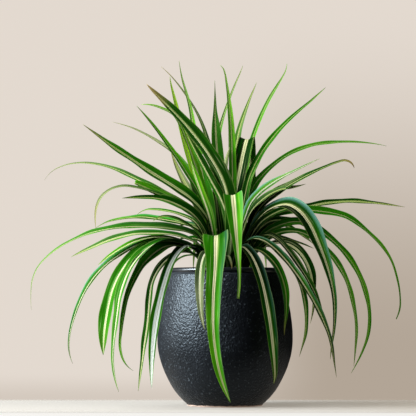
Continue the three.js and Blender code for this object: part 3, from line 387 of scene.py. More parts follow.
        (264, 234, 4, 8.5), (281, 225, 10, 9.5), (298, 222, 16, 9.5), (312, 226, 22, 9.5),
        (325, 234.8, 27, 9.5), (338, 246.5, 31, 9.5), (349, 259.5, 35, 9.5), (357.5, 274, 38, 9),
        (363.5, 289, 40, 8), (367.3, 304, 41, 7), (368.5, 320, 41, 6), (366.7, 336, 40, 5),
        (362, 350, 39, 3.6), (356, 363, 37, 2.2), (350.5, 373, 36, 0.9),
    ]),
    ("right_inner_droop", "right", (45, 50), (0.12, 0.5, 0.05, 0.6, 0, 0.12), [
        (266, 240, -2, 8), (283, 232, 3, 8.5), (300, 232.5, 8, 8.5), (314, 239.7, 13, 9),
        (327, 251.7, 17, 9.5), (337, 264.5, 20, 9.5), (344, 277, 22, 9), (348.8, 290, 23, 8),
        (352.3, 304, 24, 7), (354.7, 318, 24, 6), (355.5, 332, 23, 5), (354.6, 348, 22, 3.6),
        (353.3, 366, 21, 0.9),
    ]),
    ("right_back_striped", "right", (60, 55), (0.2, 0.14, 0, 0.4, 0, 0.12), [
        (257, 229, 8, 8), (267, 222, 24, 9), (278, 222.3, 42, 9), (289, 227.8, 58, 9),
        (299, 233.8, 72, 8.5), (307, 239, 83, 5.5), (313, 244, 90, 0.9),
    ]),
    ("right_back_fine", "right", (35, 40), (0.1, 0.14, 0, 0.6, 0, 0.12), [
        (261, 238, 6, 6), (272, 236, 20, 7), (285, 239, 36, 6.5), (297, 242.5, 51, 5),
        (307, 246, 64, 3.6), (314, 248.7, 73, 0.9),
    ]),
    ("right_back_thread", "right", (20, 20), (0.15, 0.3, 0, 0.6, 0, 0.12), [
        (256, 236, 8, 4), (268, 232.6, 24, 4.6), (280, 231.2, 40, 4.2), (290, 231, 53, 3.2),
        (301, 233.5, 66, 0.9),
    ]),
    ("right_dark_back", "right", (35, 50), (0.1, 0.02, 0, 0.5, 0, 0.12), [
        (259, 230, 2, 9), (270, 222, 12, 9.5), (283, 220.6, 24, 9.5), (295, 222, 35, 8.5),
        (304, 226, 43, 5.5), (312, 233, 50, 0.9),
    ]),
    ("right_dark_mid", "right", (35, 30), (0.1, 0.02, 0, 0.5, 0, 0.12), [
        (254, 232, -3, 9), (262, 222, 2, 9.5), (272, 215, 8, 9.5), (283, 210.3, 14, 8.5),
        (293, 208, 20, 6), (305, 209, 27, 0.9),
    ]),
    ("right_cream_curve", "right", (35, 10), (0.26, 0.1, 0, 0.3, 0, 0.12), [
        (262, 249, -8, 8.5), (275, 243.5, -14, 11), (287, 244.5, -19, 13.5), (297.5, 251, -23, 14),
        (305, 261, -26, 14), (309.6, 272, -28, 12.5), (312, 284, -29, 9), (313, 297, -29, 5.6),
        (312.4, 310, -29, 3.8), (310, 323.5, -28, 0.9),
    ]),
    ("right_diagonal", "right", (20, 10), (0.15, 0.02, 0.05, 0.2, -0.19, 0.12), [
        (240, 254, -16, 7), (246, 243, -22, 8.5), (255, 239, -29, 9.5), (264, 241.3, -36, 9.5),
        (274, 248.5, -42, 9.5), (285, 260, -48, 9.5), (296, 274, -54, 9.5), (306.5, 290, -59, 9),
        (315.5, 305.5, -63, 8.4), (322.5, 320, -66, 7.4), (328, 334, -68, 5.6),
        (331.5, 348, -69, 4.2), (333.5, 361, -69, 2.8), (336, 377, -68, 0.9),
    ]),
    ("right_diagonal_upper", "right", (20, 10), (0.07, 0, 0, 0, 0, 0.12), [
        (251, 246, -8, 7), (259, 237.5, -14, 9), (268, 235.3, -20, 9.5), (277, 239.6, -26, 9.5),
        (286, 248.8, -32, 9.5), (295, 260.5, -37, 9.5), (303.5, 273.5, -41, 9),
        (310.8, 286, -45, 7.6), (316.8, 299, -48, 5.6), (321, 312, -50, 3.8), (324, 326, -51, 0.9),
    ]),
    ("right_under", "right", (25, 15), (0.2, 0.3, 0, 0.5, 0, 0.12), [
        (255, 253, -2, 7), (267, 246.5, -8, 8), (279, 252, -13, 8.5), (289.5, 264, -16, 8.5),
        (297.5, 279, -19, 8.5), (302, 292, -20, 8.5), (304.7, 306, -21, 8), (305.4, 321, -21, 7),
        (304.3, 336, -20, 5), (301.5, 347, -19, 3), (299, 356.5, -18, 0.9),
    ]),
    ("back_grey_tip", "back", (15, 10), (0.1, 0.26, 0.2, 0.5, 0, 0.5), [
        (218, 215, 20, 7), (215, 190, 32, 7), (212, 165, 47, 6.4), (208, 143, 61, 5.4),
        (203.5, 128, 71, 4.2), (197, 113, 80, 3.2), (188, 98, 90, 2.6), (178, 84, 98, 2),
        (170, 74.5, 104, 1.6), (161, 66, 109, 0.9),
    ]),
    ("back_channel", "back", (0, 0), (0.15, 0.36, 0.04, 0.4, 0, 0.12), [
        (226, 235, 16, 9), (222, 200, 22, 10), (219.5, 175, 27, 11.5), (217.4, 155, 31, 12),
        (216.2, 140, 34, 11.5), (215.5, 125, 38, 8.4), (215, 110, 42, 4), (215, 97, 45, 2.2),
        (214.8, 80, 49, 0.9),
    ]),
    ("back_bent_tip", "back", (0, 0), (0.1, 0.52, 0.06, 0.7, 0, 0.12), [
        (231, 230, 14, 8), (232.3, 205, 15, 8.4), (232.5, 180, 17, 8.2), (232.2, 160, 20, 7.8),
        (231.7, 140, 24, 7.2), (231, 124, 28, 6.4), (229.7, 108, 33, 5), (228.3, 95, 38, 3.4),
        (226.5, 82, 43, 2.4), (225, 73, 47, 2), (223.6, 68.5, 49, 1.8), (220.3, 64.5, 52, 0.9),
    ]),
    ("back_thin_right", "back", (0, 0), (0.12, 0.4, 0.15, 0.6, 0, 0.12), [
        (224, 222, 22, 8), (220, 195, 34, 8), (218, 170, 48, 7), (217.6, 150, 60, 5.6),
        (219.8, 130, 72, 4.4), (223.2, 117, 79, 3.4), (227, 105.5, 86, 2.8), (231, 94.5, 92, 2.4),
        (236, 82, 99, 2), (240, 73, 104, 1.6), (243, 65, 108, 0.9),
    ]),
    ("back_right_tall", "back", (15, 10), (0.16, 0.3, 0.15, 0.6, 0, 0.12), [
        (232, 218, 22, 9), (233.5, 190, 34, 9.5), (235, 165, 45, 9), (237, 143, 54, 7.6),
        (240, 128, 60, 5.8), (243.7, 116, 64, 4.6), (247.6, 105, 68, 3.4), (251, 96, 71, 2.6),
        (254, 89, 74, 2), (256.8, 82, 76, 0.9),
    ]),
    ("back_folded_over", "back", (0, 0), (0.24, 0.06, 0, 0.3, 0, 0), [
        (233.5, 220, 16, 12), (236, 192, 20, 15), (240, 172, 24, 16), (243.3, 155, 29, 16.5),
        (246, 143.5, 37, 16.5), (247.3, 139.5, 48, 15.5), (248.5, 144, 60, 14),
        (249.5, 156, 72, 12.5), (250.5, 174, 84, 10.5), (252, 197, 95, 8), (254, 221, 103, 5),
        (256, 246, 108, 0.9),
    ]),
    ("back_right_blade", "back", (20, 20), (0.06, 0.42, 0.06, 0.5, 0, 0.12), [
        (239, 215, 20, 8.5), (242, 190, 28, 9), (245, 172, 35, 8.4), (248.2, 156, 42, 6.6),
        (252, 141, 49, 5.6), (257, 126.5, 56, 5), (263, 112, 62, 4.6), (270, 98, 68, 4.2),
        (277, 86, 73, 3.2), (282.5, 77, 77, 2.2), (286, 70, 80, 1.6), (287.3, 63, 82, 0.9),
    ]),
    ("back_teal", "back", (0, 0), (0.1, 0.35, 0.3, 0.2, 0, 0.12), [
        (226, 225, 10, 7.5), (223, 202, 10, 8.5), (222.5, 184, 12, 8.5), (224, 169, 14, 6.6),
        (226.5, 157.5, 16, 4.4), (229.5, 147, 18, 0.9),
    ]),
    ("left_inner_dark", "left", (15, 15), (0.1, 0.08, 0, 0.3, 0, 0.12), [
        (209, 238, 4, 8), (202, 229, 14, 11), (193, 225, 25, 11), (184, 225, 35, 7),
        (177, 228, 43, 0.9),
    ]),
    ("left_inner_dark_low", "left", (15, 15), (0.1, 0.05, 0, 0.3, 0, 0.12), [
        (209, 249, 0, 8), (202, 241.5, 8, 10.5), (193, 238.5, 17, 10.5), (184, 238.5, 26, 7),
        (176, 241, 33, 0.9),
    ]),
]

# Leaves that fan out behind: how many, how far they reach, how high they arch and where
# their tips hang, over a fan of directions in degrees, their width, and a finish for all
BACK_FANS = [
    {"count": 3, "reach": 72, "arch": 100, "tip": 84, "from": 58, "to": 122, "width": 9},
    {"count": 4, "reach": 128, "arch": 78, "tip": 8, "from": 66, "to": 114, "width": 12},
    {"count": 4, "reach": 142, "arch": 52, "tip": -78, "from": 74, "to": 106, "width": 13},
]

FAN_FINISH = (0.13, 0.34, 0.0, 0.3, 0.0, 0.12)
FAN_TIP_WIDTH = 0.9

# Along a leaf of a fan: share of its reach, of its arch and of its width
FAN_PROFILE = np.array([
    [0.1, 0.5, 0.9], [0.26, 0.86, 1], [0.5, 1, 1], [0.74, 0.86, 0.8], [0.9, 0.52, 0.45], [1, 0, 0],
])

# What a seed starts from and how far it moves on from leaf to leaf
LEAF_SEED, FAN_SEED, SEED_STEP = 0.37, 0.11, 0.618

# The leaf's green by its tone, and the colours that are laid over it
GREENS = [
    (0.0, (0.0010, 0.011, 0.0004)),
    (0.25, (0.0055, 0.070, 0.0012)),
    (0.55, (0.032, 0.240, 0.0028)),
    (0.8, (0.115, 0.46, 0.0060)),
    (1.0, (0.34, 0.70, 0.018)),
]
BLEACHED = (0.20, 0.24, 0.12)
UNDERSIDE = (0.045, 0.20, 0.012)
STRIPE_LINE = (0.40, 0.42, 0.16)
MIDRIB = (0.13, 0.10, 0.035)
# painted shade: the near black green laid over the root of every leaf and the stub
ROOT_SHADE = (0.012, 0.05, 0.008)

# Colours of the soil's bark and fibre, and of the stain on its pale grains
BARK = (0.16, 0.10, 0.055)
FIBRE = (0.2, 0.14, 0.09)
STAIN = (0.30, 0.22, 0.15)

# The table in metres, the colours of its glow, which is painted light with painted shade at
# the right and a painted highlight on the front edge, and the middle of the plant, which every
# lamp looks at
TABLE_THICK = 0.03
TABLE_ROUND = 0.0015
TABLE_REACH = 0.6
SHADED_GLOW = (0.15, 0.10, 0.04)
FRONT_GLOW = (0.62, 0.60, 0.57)
HEART = (0.0, 0.0, 0.17)

# The light of the room: its least, and the direction and strength of each broad glow
ROOM_DIM = 0.015
ROOM_COLOUR = (0.97, 0.99, 1.0)
ROOM_GLOWS = [((-0.93, -0.30, 0.2), 1.0), ((0, 0, 1), 0.08), ((0.72, -0.6, 0.3), 0.04)]

# The lamps: name, place and size in metres, power beside the key light's, colour, and whether
# a shiny surface mirrors it. One of them lights the pot and nothing else.
WARM = (1.0, 0.98, 0.95)
LAMPS = [
    ("key", (-1.85, -0.6, 1.3), (1.5, 1.3), 1.0, (1.0, 0.99, 0.95), True),
    ("window", (-2.0, -0.3, 0.6), (0.7, 0.9), 0.5, (0.93, 0.97, 1.0), True),
    ("sheen", (-2.0, -0.6, 1.25), (0.8, 0.8), 5.4, (0.90, 0.96, 1.0), True),
    ("fill", (-0.7, -1.2, 1.9), (0.7, 0.7), 0.14, WARM, False),
    ("top", (-0.3, 0.3, 1.8), (1.0, 0.9), 0.10, (1.0, 1.0, 0.97), False),
    ("far", (1.8, -0.7, 1.2), (1.2, 1.2), 0.17, WARM, False),
    ("back", (0.9, 1.7, 1.1), (1.2, 1.2), 0.16, WARM, False),
]
POT_LAMP = "sheen"


# ---------------------------------------------------------------- settings


def length_setting(name, description, default):
    return bpy.props.FloatProperty(
        name=name, description=description, default=default, min=0.0, unit="LENGTH", precision=5
    )


def share_setting(name, description, default):
    return bpy.props.FloatProperty(
        name=name, description=description, default=default, min=0.0, max=1.0, subtype="FACTOR"
    )


def colour_setting(name, description, default):
    return bpy.props.FloatVectorProperty(
        name=name, description=description, default=default, size=3, min=0.0, max=1.0,
        subtype="COLOR",
    )


class SpiderPotSettings(bpy.types.PropertyGroup):
    """The glazed pot."""

    grain_size: length_setting("Grain size", "Width of the glaze's pebbles", 0.0042)
    grain_depth: length_setting("Grain depth", "Depth of the dips between pebbles", 0.00008)
    foot_height: length_setting("Bare foot", "Height of the bare clay at the foot", 0.0013)
    glaze: colour_setting("Glaze", "Colour of the glaze", (0.0022, 0.0025, 0.0032))
    # pale specks painted on the grain's tops as glints
    painted_glint: colour_setting("Fleck", "Colour of the tops of the grain", (0.042, 0.051, 0.058))
    clay: colour_setting("Clay", "Colour of the bare foot", (0.45, 0.33, 0.27))
    roughness: share_setting("Roughness", "Roughness of the pebbled glaze", 0.43)
    lip_roughness: share_setting("Lip roughness", "Roughness of the smooth lip", 0.3)


class SpiderSoilSettings(bpy.types.PropertyGroup):
    """The potting soil."""

    crumb_size: length_setting("Crumb size", "Width of a middling crumb", 0.0034)
    crumbs: bpy.props.IntProperty(
        name="Crumbs", description="How many loose crumbs lie on the soil", default=900, min=0
    )
    grains: bpy.props.IntProperty(
        name="Pale grains", description="How many pale grains lie among them", default=110, min=0
    )
    peat: colour_setting("Peat", "Colour of the crumbs", (0.035, 0.021, 0.013))
    grain: colour_setting("Grain", "Colour of the pale grains", (0.72, 0.70, 0.64))


class SpiderLeafSettings(bpy.types.PropertyGroup):
    """The leaves of every crown."""

    fold: bpy.props.FloatProperty(
        name="Fold", description="How far each half of a blade is folded up from the midrib",
        default=math.radians(20), min=0.0, max=1.2, subtype="ANGLE",
    )
    fullness: bpy.props.FloatProperty(
        name="Fullness", description="Width of a blade beside the width in its table",
        default=1.07, min=0.5, max=1.5,
    )
    rib: length_setting("Rib", "Thickness of a wide blade along its midrib", 0.0011)
    edge: length_setting("Edge", "Thickness of a blade near its edges", 0.0004)
    ripple: length_setting("Ripple", "Height of the waves along a wide blade's edges", 0.0004)
    rows: bpy.props.IntProperty(
        name="Rows", description="Rows of faces along a leaf", default=84, min=8, max=120
    )
    cream: colour_setting("Cream", "Colour of the middle stripe", (0.92, 0.90, 0.57))
    lime: colour_setting("Lime", "Colour of a stripe on a fresh leaf", (0.42, 0.56, 0.15))
    silver: colour_setting("Silver", "Colour of the silvery stripes", (0.86, 0.95, 0.91))
    # painted sheen: the pale teal laid along bent edges for light caught by the gloss
    painted_sheen: colour_setting("Bloom", "Colour of the bloom on bent edges", (0.26, 0.60, 0.56))
    dry: colour_setting("Dry tip", "Colour of a drying tip", (0.36, 0.24, 0.08))
    roughness: share_setting("Roughness", "Roughness of the blade's upper side", 0.46)


class SpiderStudioSettings(bpy.types.PropertyGroup):
    """The table, the backdrop, the lights and the camera."""

    table_front: length_setting("Table front", "From the pot's middle to the table's front", 0.1)
    table_back: length_setting("Table back", "From the pot's middle to the table's back", 0.132)
    key: bpy.props.FloatProperty(
        name="Key light", description="Power of the large light at the left", default=56.0,
        min=0.0, unit="POWER",
    )
    table: colour_setting("Table", "Colour of the table", (0.46, 0.46, 0.45))
    table_glow: colour_setting("Table glow", "Light of the table's own", (0.272, 0.240, 0.200))
    wall: colour_setting("Wall", "The backdrop where it is light", (0.768, 0.695, 0.625))
    wall_shade: colour_setting("Wall shade", "The backdrop in shade", (0.445, 0.375, 0.305))


# ---------------------------------------------------------------- shapes


def unit(vectors):
    """Each vector divided by its length."""
    return vectors / np.maximum(np.linalg.norm(vectors, axis=-1, keepdims=True), 1e-12)


def smooth(low, high, x):
    """3t² - 2t³, where t runs from 0 at low to 1 at high and is held there."""
    t = np.clip((x - low) / (high - low), 0.0, 1.0)
    return t * t * (3.0 - 2.0 * t)


def hashed(cells, seed):
    """A number from 0 to 1 for each cell: what follows the point in a large multiple of the sine
    of a mix of its three numbers and the seed."""
    mix = np.array([127.1, 311.7, 74.7])
    seed_step, stretch = 19.19, 43758.5453
    return np.modf(np.abs(np.sin(cells @ mix + seed * seed_step) * stretch))[0]


def pebbles(points, size, seed):
    """Distance from each point to the nearest of a scatter of centres, one to each cube of a
    grid of the given size, as a share of that size, and a number of that centre's own."""
    scaled = points / size
    base = np.floor(scaled)
    nearest = np.full(len(points), np.inf)
    own = np.zeros(len(points))
    for offset in np.ndindex(3, 3, 3):
        cell = base + np.array(offset) - 1.0
        centre = cell + np.stack([hashed(cell, seed + k) for k in range(3)], axis=-1)
        distance = np.linalg.norm(scaled - centre, axis=-1)
        own = np.where(distance < nearest, hashed(cell, seed + 5), own)
        nearest = np.minimum(nearest, distance)
    return nearest, own


def smooth_line(rows, count):
    """count + 1 places along a smooth curve through rows of x, y, z and any further values.
    Each span is the cubic p(1 - t)²(1 + 2t) + q t²(3 - 2t) + h(m t(1 - t)² - n t²(1 - t)) of
    its ends p and q, its length h and the slopes m and n there. A slope is the mean of the
    straight slopes on both sides, weighted by the other span's length."""
    spans = np.linalg.norm(np.diff(rows[:, :3], axis=0), axis=1)
    knots = np.concatenate([[0.0], np.cumsum(spans)])
    steps = np.diff(rows, axis=0) / spans[:, None]
    before, after = spans[:-1, None], spans[1:, None]
    slopes = np.empty_like(rows)
    slopes[1:-1] = (steps[:-1] * after + steps[1:] * before) / (before + after)
    slopes[0] = 2 * steps[0] - slopes[1]
    slopes[-1] = 2 * steps[-1] - slopes[-2]
    places = np.linspace(0.0, knots[-1], count + 1)
    i = np.clip(np.searchsorted(knots, places, side="right") - 1, 0, len(spans) - 1)
    h = spans[i][:, None]
    t = (places - knots[i])[:, None] / h
    ends = rows[i] * (1 - t) ** 2 * (1 + 2 * t) + rows[i + 1] * t**2 * (3 - 2 * t)
    bends = slopes[i] * t * (1 - t) ** 2 - slopes[i + 1] * t**2 * (1 - t)
    return ends + h * bends, knots[-1]


def closed_tube(rings, first, last):
    """The surface through rings of points, as (points, quads, triangles): each place of a ring
    joins the next place and the next ring in a quad, and each end is a fan to one point. The
    faces are turned round where the volume that they shut in comes out below nothing."""
    rows, around = rings.shape[:2]
    points = np.concatenate([rings.reshape(-1, 3), [first, last]])
    r, p = np.meshgrid(np.arange(rows - 1), np.arange(around), indexing="ij")
    q = (p + 1) % around
    low, high = r * around, (r + 1) * around
    quads = np.stack([low + p, low + q, high + q, high + p], axis=-1).reshape(-1, 4)
    place = np.arange(around)
    following = (place + 1) % around
    top = (rows - 1) * around
    start = np.stack([np.full(around, rows * around), following, place], axis=-1)
    end = np.stack([np.full(around, rows * around + 1), top + place, top + following], axis=-1)
    triangles = np.concatenate([start, end])
    halves = np.concatenate([quads[:, [0, 1, 2]], quads[:, [0, 2, 3]], triangles])
    a, b, c = (points[halves[:, k]] - points[0] for k in range(3))
    if np.einsum("ij,ij->i", a, np.cross(b, c)).sum() < 0:
        quads, triangles = quads[:, ::-1], triangles[:, ::-1]
    return points, quads, triangles


def joined(shells):
    """Several (points, quads, triangles, marks) as one, with the point numbers moved on. marks
    holds three numbers for each point under each name."""
    points, quads, triangles, marks = zip(*shells)
    offsets = np.cumsum([0] + [len(each) for each in points[:-1]])
    quads = np.concatenate([each + offset for each, offset in zip(quads, offsets)])
    triangles = np.concatenate([each + offset for each, offset in zip(triangles, offsets)])
    marks = {name: np.concatenate([each[name] for each in marks]) for name in marks[0]}
    return np.concatenate(points), quads, triangles, marks


def turned_rings(outline, sides):
    """Rings of points round the upright axis: radius times the cosine and sine of the angle,
    at the outline's height."""
    angles = np.arange(sides) * (2 * math.pi / sides)
    radius, height = outline[:, 0, None], outline[:, 1, None]
    flat = np.zeros_like(angles)
    return np.stack([radius * np.cos(angles), radius * np.sin(angles), height + flat], axis=-1)


def new_piece(name, shell, material, replaces=None, rim=None):
    """Puts a shell into a new object that rides on the model's body. Every mark becomes an
    attribute of three numbers for each point. Shading breaks along the edges between points
    where the rim is true."""
    points, quads, triangles = shell[:3]
    marks = shell[3] if len(shell) > 3 else {}
    mesh = bpy.data.meshes.new(name)
    mesh.vertices.add(len(points))
    mesh.vertices.foreach_set("co", points.astype(np.float32).ravel())
    corners = np.concatenate([quads.ravel(), triangles.ravel()])
    mesh.loops.add(len(corners))
    mesh.loops.foreach_set("vertex_index", corners.astype(np.int32))
    sizes = np.concatenate([np.full(len(quads), 4), np.full(len(triangles), 3)])
    mesh.polygons.add(len(sizes))
    mesh.polygons.foreach_set("loop_start", (np.cumsum(sizes) - sizes).astype(np.int32))
    mesh.update(calc_edges=True)
    if mesh.validate():
        raise RuntimeError(f"{name} has faces that can't be used")
    for mark, values in marks.items():
        attribute = mesh.attributes.new(mark, "FLOAT_VECTOR", "POINT")
        attribute.data.foreach_set("vector", values.astype(np.float32).ravel())
    mesh.shade_smooth()
    if rim is not None:
        ends = np.empty(2 * len(mesh.edges), np.int32)
        mesh.edges.foreach_get("vertices", ends)
        sharp = mesh.attributes.new("sharp_edge", "BOOLEAN", "EDGE")
        sharp.data.foreach_set("value", rim[ends.reshape(-1, 2)].all(axis=1))
    mesh.materials.append(material)
    piece = bpy.data.objects.new(name, mesh)
    bpy.context.scene.collection.objects.link(piece)
    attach(piece, BODY)
    if replaces:
        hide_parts(replaces)
    return piece


# ---------------------------------------------------------------- shader nodes


class Value:
    """A shader socket. Python's operators on it add Math nodes."""

    def __init__(self, recipe, socket):
        self.recipe = recipe
        self.socket = socket

    def __add__(self, other):
        return self.recipe.math("ADD", self, other)

    __radd__ = __add__

    def __sub__(self, other):
        return self.recipe.math("SUBTRACT", self, other)

    def __rsub__(self, other):
        return self.recipe.math("SUBTRACT", other, self)

    def __mul__(self, other):
        return self.recipe.math("MULTIPLY", self, other)

    __rmul__ = __mul__

    def __truediv__(self, other):
        return self.recipe.math("DIVIDE", self, other)

    def __abs__(self):
        return self.recipe.math("ABSOLUTE", self)

    def over(self, low, high):
        """0 below low and 1 above high, with a smooth rise between."""
        inputs = {"Value": self, "From Min": low, "From Max": high}
        return self.recipe.node("ShaderNodeMapRange", {"interpolation_type": "SMOOTHSTEP"}, inputs)

    def parts(self):
        """The three numbers of a vector."""
        split = self.recipe.node("ShaderNodeSeparateXYZ", {}, {"Vector": self})
        return [Value(self.recipe, socket) for socket in split.socket.node.outputs]


class Recipe:
    """The node tree of one material or of the world."""

    def __init__(self, owner):
        owner.use_nodes = True
        self.owner = owner
        self.tree = owner.node_tree
        self.tree.nodes.clear()

    def node(self, kind, settings, inputs, output=0):
        """Adds a node: its settings first, a ramp's stops among them, then the values or the
        links of its sockets. Returns one of its outputs."""
        node = self.tree.nodes.new(kind)
        for name, value in settings.items():
            if name == "stops":
                self.set_stops(node.color_ramp, value)
            else:
                setattr(node, name, value)
        for key, value in inputs.items():
            if isinstance(value, Value):
                self.tree.links.new(value.socket, node.inputs[key])
            elif hasattr(value, "__len__"):
                node.inputs[key].default_value = (*value, 1.0)
            else:
                node.inputs[key].default_value = value
        return Value(self, node.outputs[output]) if node.outputs else None

    def set_stops(self, ramp, stops):
        while len(ramp.elements) < len(stops):
            ramp.elements.new(1.0)
        for element, (position, colour) in zip(ramp.elements, stops):
            element.position = position
            element.color = (*colour, 1.0)

    def mix(self, factor, first, second):
        """The colour first where factor is 0 and second where it is 1. A Mix node's colours are
        its inputs 6 and 7 and its output 2."""
        inputs = {"Factor": factor, 6: first, 7: second}
        return self.node("ShaderNodeMix", {"data_type": "RGBA"}, inputs, 2)

    def math(self, operation, *numbers):
        return self.node("ShaderNodeMath", {"operation": operation}, dict(enumerate(numbers)))

    def place(self):
        """Where a point is on its piece, in metres."""
        return self.node("ShaderNodeTexCoord", {}, {}, "Object")

    def attribute(self, name):
        """The three numbers of one of a piece's marks."""
        return self.node("ShaderNodeAttribute", {"attribute_name": name}, {}, "Vector").parts()

    def noise(self, vector, scale, detail=2.0, roughness=0.5):
        inputs = {"Vector": vector, "Scale": scale, "Detail": detail, "Roughness": roughness}
        return self.node("ShaderNodeTexNoise", {}, inputs)

    def cells(self, vector, scale):
        """Distance to the nearest of a scatter of centres."""
        settings = {"feature": "SMOOTH_F1"}
        return self.node("ShaderNodeTexVoronoi", settings, {"Vector": vector, "Scale": scale})

    def bump(self, height, distance, strength):
        inputs = {"Height": height, "Distance": distance, "Strength": strength}
        return self.node("ShaderNodeBump", {}, inputs)

    def surface(self, colour, roughness, normal=None, **others):
        """Ends the tree in a principled surface. Other sockets are named with _ for a space."""
        inputs = {"Base Color": colour, "Roughness": roughness}
        if normal:
            inputs["Normal"] = normal
        inputs.update({name.replace("_", " "): value for name, value in others.items()})
        shader = self.node("ShaderNodeBsdfPrincipled", {}, inputs)
        self.node("ShaderNodeOutputMaterial", {}, {"Surface": shader})
        return self.owner


def recipe_for(name):
    return Recipe(bpy.data.materials.new(name))


def toned(colour, amount):
    """A colour made lighter or darker."""
    return [amount * part for part in colour]


# ---------------------------------------------------------------- pot


def pot_outline():
    """The pot's outline from the middle of its base to the middle of its floor: the foot, a
    smooth curve up the belly, the lip, and the inner wall a wall's thickness in."""
    belly = np.array(BELLY, float)
    line = np.column_stack([belly[:, 0], np.zeros(len(belly)), belly[:, 1]])
    curve = smooth_line(line, BELLY_STEPS)[0][:, [0, 2]]
    inside = (curve[:, 1] > INNER_LOW) & (curve[:, 1] < INNER_HIGH)
    inner = curve[inside][::-INNER_STRIDE] - [WALL, 0.0]
    floor = [[FLOOR_EDGE, POT_FLOOR], [HUB, POT_FLOOR]]
    return np.concatenate([[[HUB, 0.0]], FOOT, curve, LIP, inner, floor])


def pot_shell(settings):
    """The outline turned round the upright axis, then moved along its normal by grain depth
    times (dome - 1/2) times 0.6 to 1.4 by the pebble, where dome falls smoothly from 1 at each
    pebble's centre to 0 between pebbles. The pebbles fade out at the foot, below the lip and
    inside."""
    rings = turned_rings(pot_outline() * MM, POT_SIDES)
    along = unit(np.gradient(rings, axis=0))
    around = unit(np.roll(rings, -1, axis=1) - np.roll(rings, 1, axis=1))
    outwards = unit(np.cross(around, along))
    nearest, own = pebbles(rings.reshape(-1, 3), settings.grain_size, POT_SEED)
    dome = 1.0 - smooth(0.05, 0.8, nearest)
    height = rings[:, 0, 2]
    rise = smooth(*np.multiply(PEBBLES_RISE, MM), height)
    fall = 1 - smooth(*np.multiply(PEBBLES_FADE, MM), height)
    outside = np.arange(len(rings)) <= 1 + len(FOOT) + BELLY_STEPS
    lift = ((dome - 0.5) * (0.6 + 0.8 * own)).reshape(rings.shape[:2])
    lift = lift * (rise * fall * outside)[:, None] * settings.grain_depth
    floor = (0.0, 0.0, POT_FLOOR * MM)
    return closed_tube(rings + outwards * lift[..., None], (0.0, 0.0, 0.0), floor)


def glaze_material(settings):
    """A dark glaze of a drifting tint, with leathery grain in relief and pale specks painted on its
    tops as glints. The groove under the lip is dull, the bead of the lip has a smooth coat, and the
    foot is bare clay up to a wavering edge."""
    recipe = recipe_for("pebbled_glaze")
    place = recipe.place()
    height = place.parts()[2] / MM
    lip = height.over(*GROOVE)
    bead = height.over(*BEAD)
    waver = recipe.noise(place, 160.0, 3.0) * 1.4
    bare = settings.foot_height / MM
    foot = 1 - (height - waver).over(bare - 0.9, bare - 0.5)

    drift = recipe.noise(place, 24.0, 3.0)
    colour = recipe.mix(drift.over(0.35, 0.7), settings.glaze, toned(settings.glaze, 1.9))
    colour = recipe.mix(foot, colour, settings.clay)
    grain = recipe.cells(place, 600.0)
    leather = recipe.noise(place, 470.0, 1.0)
    speck = recipe.noise(place, 900.0, 2.0)
    relief = (leather * 1.2 - grain * 0.5 + speck * 0.2) * (1 - lip)
    # Painted glints: pale bluish specks on the tops of the grain, where light would glance off them
    painted_glint = (relief - foot).over(0.64, 0.86) * 0.8
    colour = recipe.mix(painted_glint, colour, settings.painted_glint)

    dull = 0.85
    rough = settings.roughness + (drift - 0.5) * 0.16 + (speck - 0.5) * 0.14
    rough = rough + (settings.lip_roughness - rough) * bead
    rough = rough + (dull - rough) * (foot + lip - bead)
    normal = recipe.bump(relief, 1.0 * MM, 0.6)
    return recipe.surface(colour, rough, normal, Specular_IOR_Level=0.2,
                          Specular_Tint=(0.72, 0.88, 1.0), Coat_Weight=bead * 0.6,
                          Coat_Roughness=0.25, Coat_IOR=1.6)


# ---------------------------------------------------------------- soil


def soil_bump(x, y):
    """Low mounds: two crossed waves, and two finer ones."""
    wide = 0.9 * np.sin(0.21 * x + 0.6) * np.cos(0.17 * y) + 0.5 * np.sin(0.43 * x - 0.37 * y)
    return wide + 0.25 * np.sin(1.3 * x + 0.7 * y) * np.cos(0.9 * y - 0.4 * x)


def soil_height(x, y):
    """Height of the soil's surface in metres at a place in metres."""
    return (SOIL_LEVEL + soil_bump(x / MM, y / MM)) * MM


def soil_shell(settings):
    """A plug turned round the axis. Its top follows the mounds, with crumbs raised on it as
    domes about scattered centres, each as high as 0.22 of a crumb's size times 0.4 to 1.4 by
    the crumb."""
    radii = SOIL_RIM * (1 - np.linspace(0.0, SOIL_SHRINK, SOIL_RINGS))
    top = np.column_stack([radii, np.full(SOIL_RINGS, SOIL_LEVEL)])
    rings = turned_rings(np.concatenate([SOIL_SIDE, top]) * MM, SOIL_SIDES)
    surface = rings[len(SOIL_SIDE):]
    flat = surface.reshape(-1, 3)
    nearest, own = pebbles(flat, settings.crumb_size, SOIL_SEED)
    crumb = (1.0 - smooth(0.1, 0.7, nearest)) * (0.4 + own) * settings.crumb_size * 0.22
    height = soil_height(flat[:, 0], flat[:, 1]) + crumb
    surface[..., 2] = height.reshape(surface.shape[:2])
    bottom = (0.0, 0.0, SOIL_SIDE[0][1] * MM)
    return closed_tube(rings, bottom, (0.0, 0.0, soil_height(0.0, 0.0)))


